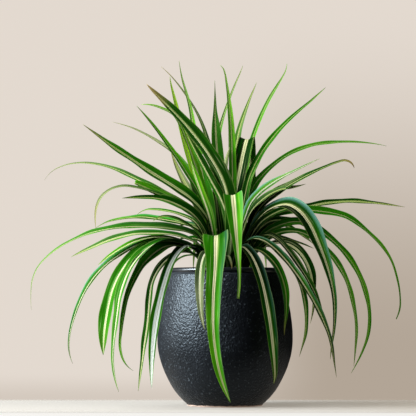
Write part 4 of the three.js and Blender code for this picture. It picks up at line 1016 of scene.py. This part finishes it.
def lumps(centres, sizes, seed):
    """Small uneven lumps: a ball of three rings and two poles for each centre, stretched three
    ways by a random 0.55 to 1.15, flattened, and dented or swollen at each point by a random
    0.72 to 1.15."""
    draw = np.random.default_rng(seed)
    turn, tilt = np.meshgrid(np.arange(6) * (math.pi / 3), np.radians([45.0, 90.0, 135.0]))
    out, up = np.sin(tilt), np.cos(tilt)
    rings = np.stack([out * np.cos(turn), out * np.sin(turn), up], axis=-1)
    ball, quads, triangles = closed_tube(rings, (0.0, 0.0, 1.0), (0.0, 0.0, -1.0))
    count = len(centres)
    flattened = [1.0, 1.0, 0.7]
    stretch = draw.uniform(0.55, 1.15, (count, 1, 3)) * flattened
    dent = draw.uniform(0.72, 1.15, (count, len(ball), 1))
    points = centres[:, None] + ball * stretch * dent * sizes[:, None, None] / 2
    offsets = (np.arange(count) * len(ball))[:, None, None]
    quads = (quads + offsets).reshape(-1, 4)
    triangles = (triangles + offsets).reshape(-1, 3)
    return points.reshape(-1, 3), quads, triangles


def scattered(count, size, seed):
    """Centres over the soil, clear of the crowns and 0.3 of a size above it, and a size for
    each: the given one times a random 0.45 to 1.25. Three times as many are drawn, because some
    fall on a crown."""
    draw = np.random.default_rng(seed)
    radius = CRUMB_REACH * MM * np.sqrt(draw.uniform(0.0, 1.0, 3 * count))
    angle = draw.uniform(0.0, 2 * math.pi, 3 * count)
    x, y = radius * np.cos(angle), radius * np.sin(angle)
    clear = np.ones(len(x), bool)
    for crown_x, crown_y in CROWNS.values():
        clear &= np.hypot(x - crown_x * MM, y - crown_y * MM) > CRUMB_CLEAR * MM
    x, y = x[clear][:count], y[clear][:count]
    sizes = size * draw.uniform(0.45, 1.25, len(x))
    centres = np.column_stack([x, y, soil_height(x, y) + 0.3 * sizes])
    return centres, sizes


def strewn(count, size, seed):
    """Lumps strewn over the soil: the seed draws their places, and the next one their shapes."""
    return lumps(*scattered(count, size, seed), seed + 1)


def peat_material(settings):
    """Dark peat with clumps of bark and pale threads of fibre, rough all over."""
    recipe = recipe_for("peat")
    place = recipe.place()
    clump = recipe.noise(place, 260.0, 4.0, 0.6)
    fine = recipe.noise(place, 1400.0, 3.0, 0.7)
    bark = [(peat + wood) / 2 for peat, wood in zip(settings.peat, BARK)]
    colour = recipe.mix(clump.over(0.42, 0.7), settings.peat, bark)
    colour = recipe.mix(fine.over(0.6, 0.78) * 0.5, colour, FIBRE)
    normal = recipe.bump(fine + clump, 0.6 * MM, 0.8)
    return recipe.surface(colour, 0.82 + fine * 0.15, normal, Specular_IOR_Level=0.3)


def grain_material(settings):
    """Pale grains with an earthy stain."""
    recipe = recipe_for("pale_grains")
    place = recipe.place()
    stain = recipe.noise(place, 420.0, 3.0)
    fine = recipe.noise(place, 2600.0, 2.0)
    colour = recipe.mix(stain.over(0.45, 0.75) * 0.7, settings.grain, STAIN)
    normal = recipe.bump(fine, 0.3 * MM, 0.7)
    return recipe.surface(colour, 0.75 + fine * 0.2, normal)


# ---------------------------------------------------------------- leaves


def placed(points):
    """Points as seen from the front, across and down at a depth, put in their place: both
    grow with the distance from the eye."""
    across, down, depth = points.T
    spread = (EYE_DISTANCE + depth) / EYE_DISTANCE
    x = (across - ACROSS_MIDDLE) * spread
    z = EYE_HEIGHT + (DOWN_FLOOR - down - EYE_HEIGHT) * spread
    return np.column_stack([x, depth, z])


def rooted(crown, points, widths):
    """Rows of x, y, z and width, from a root a little out from the middle of the crown."""
    centre = np.array(CROWNS[crown])
    away = unit(points[0, :2] - centre) * ROOT_OUT
    root = np.array([*(centre + away), ROOT_HEIGHT])
    root_width = ROOT_WIDTH if widths[0] > THIN_LEAF else widths[0]
    return np.column_stack([np.vstack([root, points]), [root_width, *widths]])


def fan_leaves():
    """The leaves of the fans as (turns, rows): each goes out at its own angle, up along the
    arch, and down to its tip. Sines of its number vary its reach by up to a tenth, its arch by
    up to about an eighth and its turns by up to 8 and 12 degrees."""
    made = []
    out, up, wide = FAN_PROFILE.T
    for fan in BACK_FANS:
        for i in range(fan["count"]):
            angle = math.radians(fan["from"] + (fan["to"] - fan["from"]) * (i + 0.5) / fan["count"])
            vary = math.sin(5.1 * i + fan["reach"])
            reach = fan["reach"] * (1 + 0.1 * vary)
            arch = fan["arch"] * (1 + 0.12 * math.sin(2.7 * i + 1))
            high = arch * up + fan["tip"] * (1 - up) * smooth(0.45, 1.0, out)
            x = CROWNS["back"][0] + reach * out * math.cos(angle)
            y = CROWNS["back"][1] + reach * out * math.sin(angle)
            points = np.column_stack([x, y, ROOT_HEIGHT + high])
            rows = rooted("back", points, np.maximum(fan["width"] * wide, FAN_TIP_WIDTH))
            made.append(((8 * vary, -12 * vary), rows))
    return made


def blade_frame(centre, turns, share):
    """The directions along a blade, across it and out of its upper face. Across is level and
    square to the line, and is then turned about it by an angle that goes evenly from the first
    turn to the last, towards the side that the leaf grows to."""
    along = unit(np.gradient(centre, axis=0))
    level = centre[:, :2] - centre[0, :2]
    far = unit(level[np.argmax(np.hypot(*level.T))])
    straight = np.array([far[1], -far[0], 0.0])
    side = unit(straight - along * (along @ straight)[:, None])
    towards = 1 if far[0] > 0 else -1
    turn = np.radians(turns[0] + (turns[1] - turns[0]) * share)[:, None] * towards
    side = side * np.cos(turn) + np.cross(along, side) * np.sin(turn)
    return side, np.cross(side, along)


def blade_width(rows, line, share, settings):
    """Width at each place along a blade: that of the line times the fullness, narrowed towards
    a pointed tip, and never less than the least width."""
    pointed = rows[-1, 3] < POINTED_BELOW
    narrowed = POINT_NARROWED * MM if pointed else 0.0
    least = (POINT_WIDTH if pointed else BLUNT_WIDTH) * MM
    width = settings.fullness * line[:, 3] - narrowed * smooth(POINT_FROM, 1.0, share)
    return np.maximum(width, least)


def blade_shell(rows, turns, finish, seed, settings):
    """A blade folded along its midrib, as a closed shell round a smooth line. At each place
    along, a section of width w runs a·w/2·cos(fold) to the side for a from -1 to 1, rises by
    w/2·sin(fold) towards both edges with a rounded valley, and waves at its edges by the
    ripple times a² times a sine. Half of its thickness lies on each side: thick at the rib, by
    a bell curve exp(-(a/spread)²), and nothing at the edges, by (1 - a²)^¼."""
    line, length = smooth_line(rows * MM, settings.rows)
    share = np.linspace(0.0, 1.0, settings.rows + 1)
    width = blade_width(rows, line, share, settings)
    centre = line[:, :3]
    side, face = blade_frame(centre, turns, share)

    full = np.clip(width / (FULL_WIDTH * MM), 0.0, 1.0)[:, None]
    half = width[:, None] / 2
    valley = np.sqrt(ACROSS**2 + VALLEY_ROUND**2) - VALLEY_ROUND
    valley = valley / (math.sqrt(1 + VALLEY_ROUND**2) - VALLEY_ROUND)
    waves = WAVE_TURN * share[:, None] * length / (WAVE_LENGTH * MM)
    phase = WAVE_START * seed + waves + WAVE_LAG * np.sign(ACROSS)
    wave = settings.ripple * full**2 * ACROSS**2 * np.sin(phase)
    lift = half * math.sin(settings.fold) * valley + wave
    reach = half * math.cos(settings.fold) * ACROSS
    rib = np.exp(-(ACROSS / RIB_SPREAD) ** 2)
    thick = (settings.edge + (settings.rib - settings.edge) * rib * full) * full**0.5
    thick = thick * np.sqrt(np.clip(1 - ACROSS**2, 0.0, 1.0)) ** 0.5
    middle = centre[:, None] + side[:, None] * reach[..., None] + face[:, None] * lift[..., None]
    half_thick = face[:, None] * (thick / 2)[..., None]
    upper, lower = middle + half_thick, (middle - half_thick)[:, -2:0:-1]
    rings = np.concatenate([upper, lower], axis=1)

    across, along = np.meshgrid(np.concatenate([ACROSS, ACROSS[-2:0:-1]]), share)
    under = 0 * across + (np.arange(rings.shape[1]) >= len(ACROSS))
    place = np.stack([across, along, under], axis=-1).reshape(-1, 3)
    place = np.concatenate([place, [[0, 0, 0], [0, 1, 0]]])
    halves = np.append(np.repeat(half, rings.shape[1]), [0, 0])
    stripe, tone, bleach, lime, band, dry = finish
    sideways, onwards = place[:, 0] * halves / MM, place[:, 1] * length / MM
    marks = {
        "place": place,
        "extent": np.column_stack([sideways, onwards, np.full(len(place), dry)]),
        "finish": np.broadcast_to([stripe, tone, bleach], place.shape),
        "trait": np.broadcast_to([lime, band, seed], place.shape),
    }
    return *closed_tube(rings, centre[0], centre[-1]), marks


def stub_shell(crown):
    """The stub of stem that a crown's leaves grow from: an outline turned round its axis,
    marked like the root of a leaf without a stripe, so that it takes the painted shade of the root."""
    rings = turned_rings(np.array(STUB_OUTLINE) * MM, STUB_SIDES)
    low, high = STUB_OUTLINE[0][1] * MM, (STUB_OUTLINE[-1][1] + STUB_PEAK) * MM
    points, quads, triangles = closed_tube(rings, (0, 0, low), (0, 0, high))
    shape = points.shape
    marks = {
        "place": np.broadcast_to([0.6, 0.03, 0.0], shape),
        "extent": points / MM * [1, 1, 0],
        "finish": np.broadcast_to([0.0, 0.2, 0.0], shape),
        "trait": np.broadcast_to([0.5, 0.0, 0.5], shape),
    }
    return points + np.array([*CROWNS[crown], 0.0]) * MM, quads, triangles, marks


def crown_shell(crown, settings):
    """A crown's stub and every leaf that grows from it, with a seed and a finish for each. The
    stripe and tone of the fans' leaves vary with their seeds."""
    shells = [stub_shell(crown)]
    for number, (_, stands_in, turns, finish, rows) in enumerate(LEAVES):
        if stands_in == crown:
            rows = np.array(rows, float)
            line = rooted(crown, placed(rows[:, :3]), rows[:, 3])
            seed = (LEAF_SEED + SEED_STEP * number) % 1.0
            shells.append(blade_shell(line, turns, finish, seed, settings))
    if crown == "back":
        stripe, tone, *others = FAN_FINISH
        for number, (turns, line) in enumerate(fan_leaves()):
            seed = (FAN_SEED + SEED_STEP * number) % 1.0
            vary = seed - 0.5
            finish = (stripe + 0.15 * vary, tone + 0.4 * vary, *others)
            shells.append(blade_shell(line, turns, finish, seed, settings))
    return joined(shells)


def leaf_material(settings):
    """The leaf's green by its tone, with fine lengthwise streaks and painted light and shade: one
    half of the blade lighter than the other, the side of the painted sheen lighter, and the green
    darker towards the root and lighter towards the tip. A pale stripe runs along the middle with
    thin brown lines in it, a painted sheen follows bent edges, a painted highlight lines both
    edges, painted shade darkens the root and the tip turns lime or dries brown. All crowns share
    it."""
    found = bpy.data.materials.get("striped_leaf")
    if found:
        return found
    recipe = recipe_for("striped_leaf")
    across, along, under = recipe.attribute("place")
    side, run, dry = recipe.attribute("extent")
    stripe, tone, bleach = recipe.attribute("finish")
    lime, band, seed = recipe.attribute("trait")
    off = abs(across)

    def streaks(width, length, shift):
        """Noise drawn out along the blade, by its width and length in millimetres."""
        numbers = {0: side / width, 1: run / length, 2: seed * 37.0 + shift}
        return recipe.noise(recipe.node("ShaderNodeCombineXYZ", {}, numbers), 1.0)

    broad = streaks(3.4, 70.0, 0.0)
    fine = streaks(1.15, 45.0, 4.0)
    blotch = streaks(14.0, 16.0, 8.0)

    # Where the painted sheen lies, and how strong it is: it fades towards the tip
    banded = across * recipe.math("SIGN", band)
    strength = abs(band) * (1 - along.over(0.5, 0.85) * 0.7)

    # Painted light and shade on the green: one half of the blade is lighter and the other darker,
    # the side of the painted sheen is lighter, and the green is darker towards the root, where
    # the crown shades it, and lighter towards the tip
    skew = across * recipe.math("SINE", seed * 40.0) * 0.14
    streaked = (broad - 0.5) * 0.6 + (fine - 0.5) * 0.3
    lit = banded.over(0.1, 0.6) * strength.over(0.0, 0.3) * 0.3
    shade = tone + skew + streaked + lit + along.over(0.12, 0.75) * 0.38 - 0.22
    green = recipe.node("ShaderNodeValToRGB", {"stops": GREENS}, {"Fac": shade})
    faded = bleach * (0.4 + along.over(0.5, 1.0) * 5) * 0.8
    green = recipe.mix(faded, green, BLEACHED)
    green = recipe.mix(under * 0.12, green, UNDERSIDE)

    # The pale stripe widens towards the tip, with a lime fringe on its dimmer side, thin brown
    # lines in it and thin pale lines beside it
    wander = off + (broad - 0.5) * 0.14
    outside = wander - stripe * (0.48 + along * 0.74)
    pale = 1 - outside.over(-0.03, 0.05)
    fringe = (1 - outside.over(0.04, 0.2)) * (0 - across).over(0.0, 0.05) * 0.7
    green = recipe.mix(fringe * broad.over(0.35, 0.6), green, settings.lime)
    lines = fine.over(0.58, 0.68) * broad.over(0.45, 0.6) * 0.30
    cream = recipe.mix(lime + along.over(0.5, 1.0) * 0.6, settings.cream, settings.lime)
    cream = recipe.mix(0 - lime, cream, settings.silver)
    cream = recipe.mix((fine - 0.38) * 1.1, cream, STRIPE_LINE)
    colour = recipe.mix(recipe.math("MAXIMUM", pale, lines), green, cream)

    # Over these come the brown midrib, a painted highlight along the edges, the painted sheen, the
    # painted shade of the root and the tip
    rib = (1 - off.over(0.02, 0.06)) * pale * 0.75
    colour = recipe.mix(rib, colour, MIDRIB)
    # Painted highlight: a thin lime line along both edges of the blade, where light catches its
    # margins
    colour = recipe.mix(off.over(0.88, 0.98) * 0.36, colour, settings.lime)
    # Painted sheen: a pale teal band along one edge where the blade bends, for light caught by its
    # gloss
    colour = recipe.mix(banded.over(0.5, 0.95) * strength, colour, settings.painted_sheen)
    # Painted shade: the root of every leaf and the stub darken towards a near black green, where
    # the crown shades them
    root_shade = (1 - along.over(0.05, 0.31)) * 0.95
    colour = recipe.mix(root_shade, colour, ROOT_SHADE)
    ageing = (along + (blotch - 0.5) * 0.14).over(0.84, 1.0) * dry
    colour = recipe.mix(ageing, colour, settings.dry)

    veins = recipe.math("SINE", side * 3.1) * (1 - off.over(0.85, 1.0))
    relief = veins * 0.35 + fine * 0.8 + broad * 0.7
    normal = recipe.bump(relief, 0.16 * MM, 0.5)
    rough = settings.roughness + (fine - 0.5) * 0.2 + under * 0.14
    return recipe.surface(colour, rough, normal, Specular_IOR_Level=0.04,
                          Specular_Tint=(0.62, 1.0, 0.55))


# ---------------------------------------------------------------- studio


def aimed(thing, place, target):
    """Stands a lamp or the camera at a place, looking at a target."""
    thing.location = place
    thing.rotation_euler = (Vector(target) - Vector(place)).to_track_quat("-Z", "Y").to_euler()


def add_lamp(name, place, size, power, colour, mirrored):
    """A soft rectangular lamp that looks at the middle of the plant. One that isn't mirrored
    leaves no highlight."""
    lamp = bpy.data.lights.new(name, "AREA")
    lamp.shape = "RECTANGLE"
    lamp.size, lamp.size_y = size
    lamp.energy = power
    lamp.color = colour
    holder = bpy.data.objects.new(name, lamp)
    bpy.context.scene.collection.objects.link(holder)
    holder.visible_camera = False
    holder.visible_glossy = mirrored
    aimed(holder, place, HEART)
    return holder


def kept_to(lamp, piece):
    """Lets a lamp light one piece and nothing else."""
    alone = bpy.data.collections.new(lamp.name)
    alone.objects.link(piece)
    lamp.light_linking.receiver_collection = alone
    lamp.light_linking.blocker_collection = alone


def table_shell(settings):
    """A slab with rounded long edges: a rectangle with a quarter round at each corner of its
    section, carried from left to right."""
    near, far = TABLE_ROUND - settings.table_front, settings.table_back - TABLE_ROUND
    high, low = -TABLE_ROUND, TABLE_ROUND - TABLE_THICK
    steps = np.radians(np.arange(0, 91, 15))
    arcs = []
    for quarter, (y, z) in enumerate([(far, high), (near, high), (near, low), (far, low)]):
        turn = steps + quarter * math.pi / 2
        arcs.append([y + TABLE_ROUND * np.cos(turn), z + TABLE_ROUND * np.sin(turn)])
    section = np.concatenate(arcs, axis=1).T
    ends = np.linspace(-TABLE_REACH, TABLE_REACH, 5)
    rings = np.empty((len(ends), len(section), 3))
    rings[..., 0] = ends[:, None]
    rings[..., 1:] = section
    middle = (near + far) / 2, -TABLE_THICK / 2
    return closed_tube(rings, (ends[0], *middle), (ends[-1], *middle))


def table_material(settings):
    """Pale, with a glow of its own that is painted light and keeps its shadows soft: painted shade
    makes it dimmer at the back and at the right, where the plant's shadow falls, and a painted
    highlight makes it brighter on the front edge. The back edge fades into the wall."""
    recipe = recipe_for("pale_table")
    place = recipe.place()
    rightward, depth, level = place.parts()
    cloud = recipe.noise(place, 6.0, 3.0)
    colour = recipe.mix(cloud, settings.table, toned(settings.table, 0.9))
    # Painted light: the glow stands in for soft light, with painted shade towards the back and to
    # the right and a painted highlight on the front edge
    glow = settings.table_glow
    glow = recipe.mix(depth.over(-0.09, 0.07), glow, toned(glow, 0.8))
    glow = recipe.mix(rightward.over(0.02, 0.22) * 0.7, glow, SHADED_GLOW)
    glow = recipe.mix(level.over(-0.0025, -0.0003), FRONT_GLOW, glow)
    haze = 1 - depth.over(settings.table_back - 0.05, settings.table_back - 0.003)
    return recipe.surface(colour, 0.5 + (cloud - 0.5) * 0.1, Alpha=haze, Emission_Color=glow,
                          Emission_Strength=1.0, Specular_IOR_Level=0.0)


def add_table(settings):
    """Puts the table into the scene as a part of the stage."""
    points, quads, triangles = table_shell(settings)
    mesh = bpy.data.meshes.new("table")
    mesh.from_pydata(points, [], [*quads.tolist(), *triangles.tolist()])
    mesh.materials.append(table_material(settings))
    table = bpy.data.objects.new("table", mesh)
    bpy.context.scene.collection.objects.link(table)


def set_backdrop(settings):
    """The world: for the camera a pale wall that falls into soft shade at the lower right, and
    for the light a dim room with a few broad glows."""
    world = bpy.data.worlds.new("studio")
    bpy.context.scene.world = world
    recipe = Recipe(world)
    rightward, backward, upward = recipe.node("ShaderNodeTexCoord", {}, {}, "Generated").parts()
    shade = rightward.over(-0.03, 0.055) * (1 - upward.over(-0.03, 0.15))
    wall = recipe.mix(shade, settings.wall, settings.wall_shade)
    # Painted shade: the wall is darker in a narrow band a little below eye level, just above the
    # table
    base = (1 - upward.over(-0.0495, -0.035)) * 0.35
    wall = recipe.mix(base, wall, settings.wall_shade)
    room = ROOM_DIM
    for (x, y, z), strength in ROOM_GLOWS:
        facing = rightward * x + backward * y + upward * z
        room = room + strength * facing.over(0.3, 1.0)
    glow = recipe.node("ShaderNodeBackground", {}, {"Color": ROOM_COLOUR, "Strength": room})
    seen = recipe.node("ShaderNodeBackground", {}, {"Color": wall, "Strength": 1.0})
    camera_ray = recipe.node("ShaderNodeLightPath", {}, {}, "Is Camera Ray")
    both = recipe.node("ShaderNodeMixShader", {}, {0: camera_ray, 1: glow, 2: seen})
    recipe.node("ShaderNodeOutputWorld", {}, {"Surface": both})


def add_camera():
    """The eye stands level with the pot, and looks up a little at the middle of the plant."""
    data = bpy.data.cameras.new("eye")
    data.sensor_width = 36.0
    data.lens = data.sensor_width * EYE_DISTANCE / PICTURE
    data.clip_end = 50.0
    eye = bpy.data.objects.new("eye", data)
    bpy.context.scene.collection.objects.link(eye)
    middle = np.array([PICTURE / 2 - ACROSS_MIDDLE, 0.0, DOWN_FLOOR - PICTURE / 2]) * MM
    aimed(eye, (0.0, -EYE_DISTANCE * MM, EYE_HEIGHT * MM), middle)
    bpy.context.scene.camera = eye


# ---------------------------------------------------------------- operators


class SPIDER_OT_pot(bpy.types.Operator):
    """Make the glazed pot"""

    bl_idname = "spider_plant.pot"
    bl_label = "Pot"

    def execute(self, context):
        settings = context.scene.spider_pot
        new_piece("glazed_pot", pot_shell(settings), glaze_material(settings), "pot")
        return {"FINISHED"}


class SPIDER_OT_soil(bpy.types.Operator):
    """Make the soil with its crumbs and pale grains"""

    bl_idname = "spider_plant.soil"
    bl_label = "Soil"

    def execute(self, context):
        settings = context.scene.spider_soil
        peat = peat_material(settings)
        new_piece("soil_fill", soil_shell(settings), peat, "soil")
        crumbs = strewn(settings.crumbs, settings.crumb_size, CRUMB_SEED)
        new_piece("soil_crumbs", crumbs, peat)
        grains = strewn(settings.grains, settings.crumb_size * GRAIN_SHARE, GRAIN_SEED)
        new_piece("soil_grains", grains, grain_material(settings))
        return {"FINISHED"}


class SPIDER_OT_crown(bpy.types.Operator):
    """Make the leaves of one crown"""

    bl_idname = "spider_plant.crown"
    bl_label = "Crown"

    crown: bpy.props.EnumProperty(
        name="Crown",
        description="Which crown of leaves to make",
        items=[(name, name.title(), f"The {name} crown") for name in CROWNS],
    )

    def execute(self, context):
        settings = context.scene.spider_leaf
        shell = crown_shell(self.crown, settings)
        name = f"{self.crown}_leaves"
        rim = np.abs(shell[3]["place"][:, 0]) == 1.0
        new_piece(name, shell, leaf_material(settings), f"crown_{self.crown}", rim)
        return {"FINISHED"}


class SPIDER_OT_studio(bpy.types.Operator):
    """Make the table, the backdrop, the lights and the camera"""

    bl_idname = "spider_plant.studio"
    bl_label = "Studio"

    def execute(self, context):
        settings = context.scene.spider_studio
        pot = bpy.data.objects.get("glazed_pot")
        if pot is None:
            raise RuntimeError("One lamp lights the glazed pot alone, so the pot is made first")
        add_table(settings)
        set_backdrop(settings)
        for name, place, size, share, colour, mirrored in LAMPS:
            lamp = add_lamp(name, place, size, settings.key * share, colour, mirrored)
            if name == POT_LAMP:
                kept_to(lamp, pot)
        add_camera()
        view = context.scene.view_settings
        view.view_transform = "Standard"
        view.look = "None"
        return {"FINISHED"}


class SPIDER_PT_panel(bpy.types.Panel):
    """Sizes, colours and makers of the spider plant"""

    bl_idname = "SPIDER_PT_panel"
    bl_label = "Spider Plant"
    bl_space_type = "VIEW_3D"
    bl_region_type = "UI"
    bl_category = "Spider Plant"

    def draw(self, context):
        for title, group in SETTINGS.items():
            box = self.layout.box()
            box.label(text=title.replace("spider_", "").title())
            settings = getattr(context.scene, title)
            for name in group.__annotations__:
                box.prop(settings, name)
        for operator in (SPIDER_OT_pot, SPIDER_OT_soil, SPIDER_OT_studio):
            self.layout.operator(operator.bl_idname)
        for crown in CROWNS:
            button = self.layout.operator(SPIDER_OT_crown.bl_idname, text=f"{crown.title()} crown")
            button.crown = crown


SETTINGS = {
    "spider_pot": SpiderPotSettings,
    "spider_soil": SpiderSoilSettings,
    "spider_leaf": SpiderLeafSettings,
    "spider_studio": SpiderStudioSettings,
}
CLASSES = (
    *SETTINGS.values(),
    SPIDER_OT_pot,
    SPIDER_OT_soil,
    SPIDER_OT_crown,
    SPIDER_OT_studio,
    SPIDER_PT_panel,
)


def register():
    for each in CLASSES:
        bpy.utils.register_class(each)
    for name, group in SETTINGS.items():
        setattr(bpy.types.Scene, name, bpy.props.PointerProperty(type=group))


def unregister():
    for name in SETTINGS:
        delattr(bpy.types.Scene, name)
    for each in reversed(CLASSES):
        bpy.utils.unregister_class(each)


def main():
    register()
    bpy.ops.spider_plant.pot()
    bpy.ops.spider_plant.soil()
    for crown in CROWNS:
        bpy.ops.spider_plant.crown(crown=crown)
    bpy.ops.spider_plant.studio()


if __name__ == "__main__":
    main()
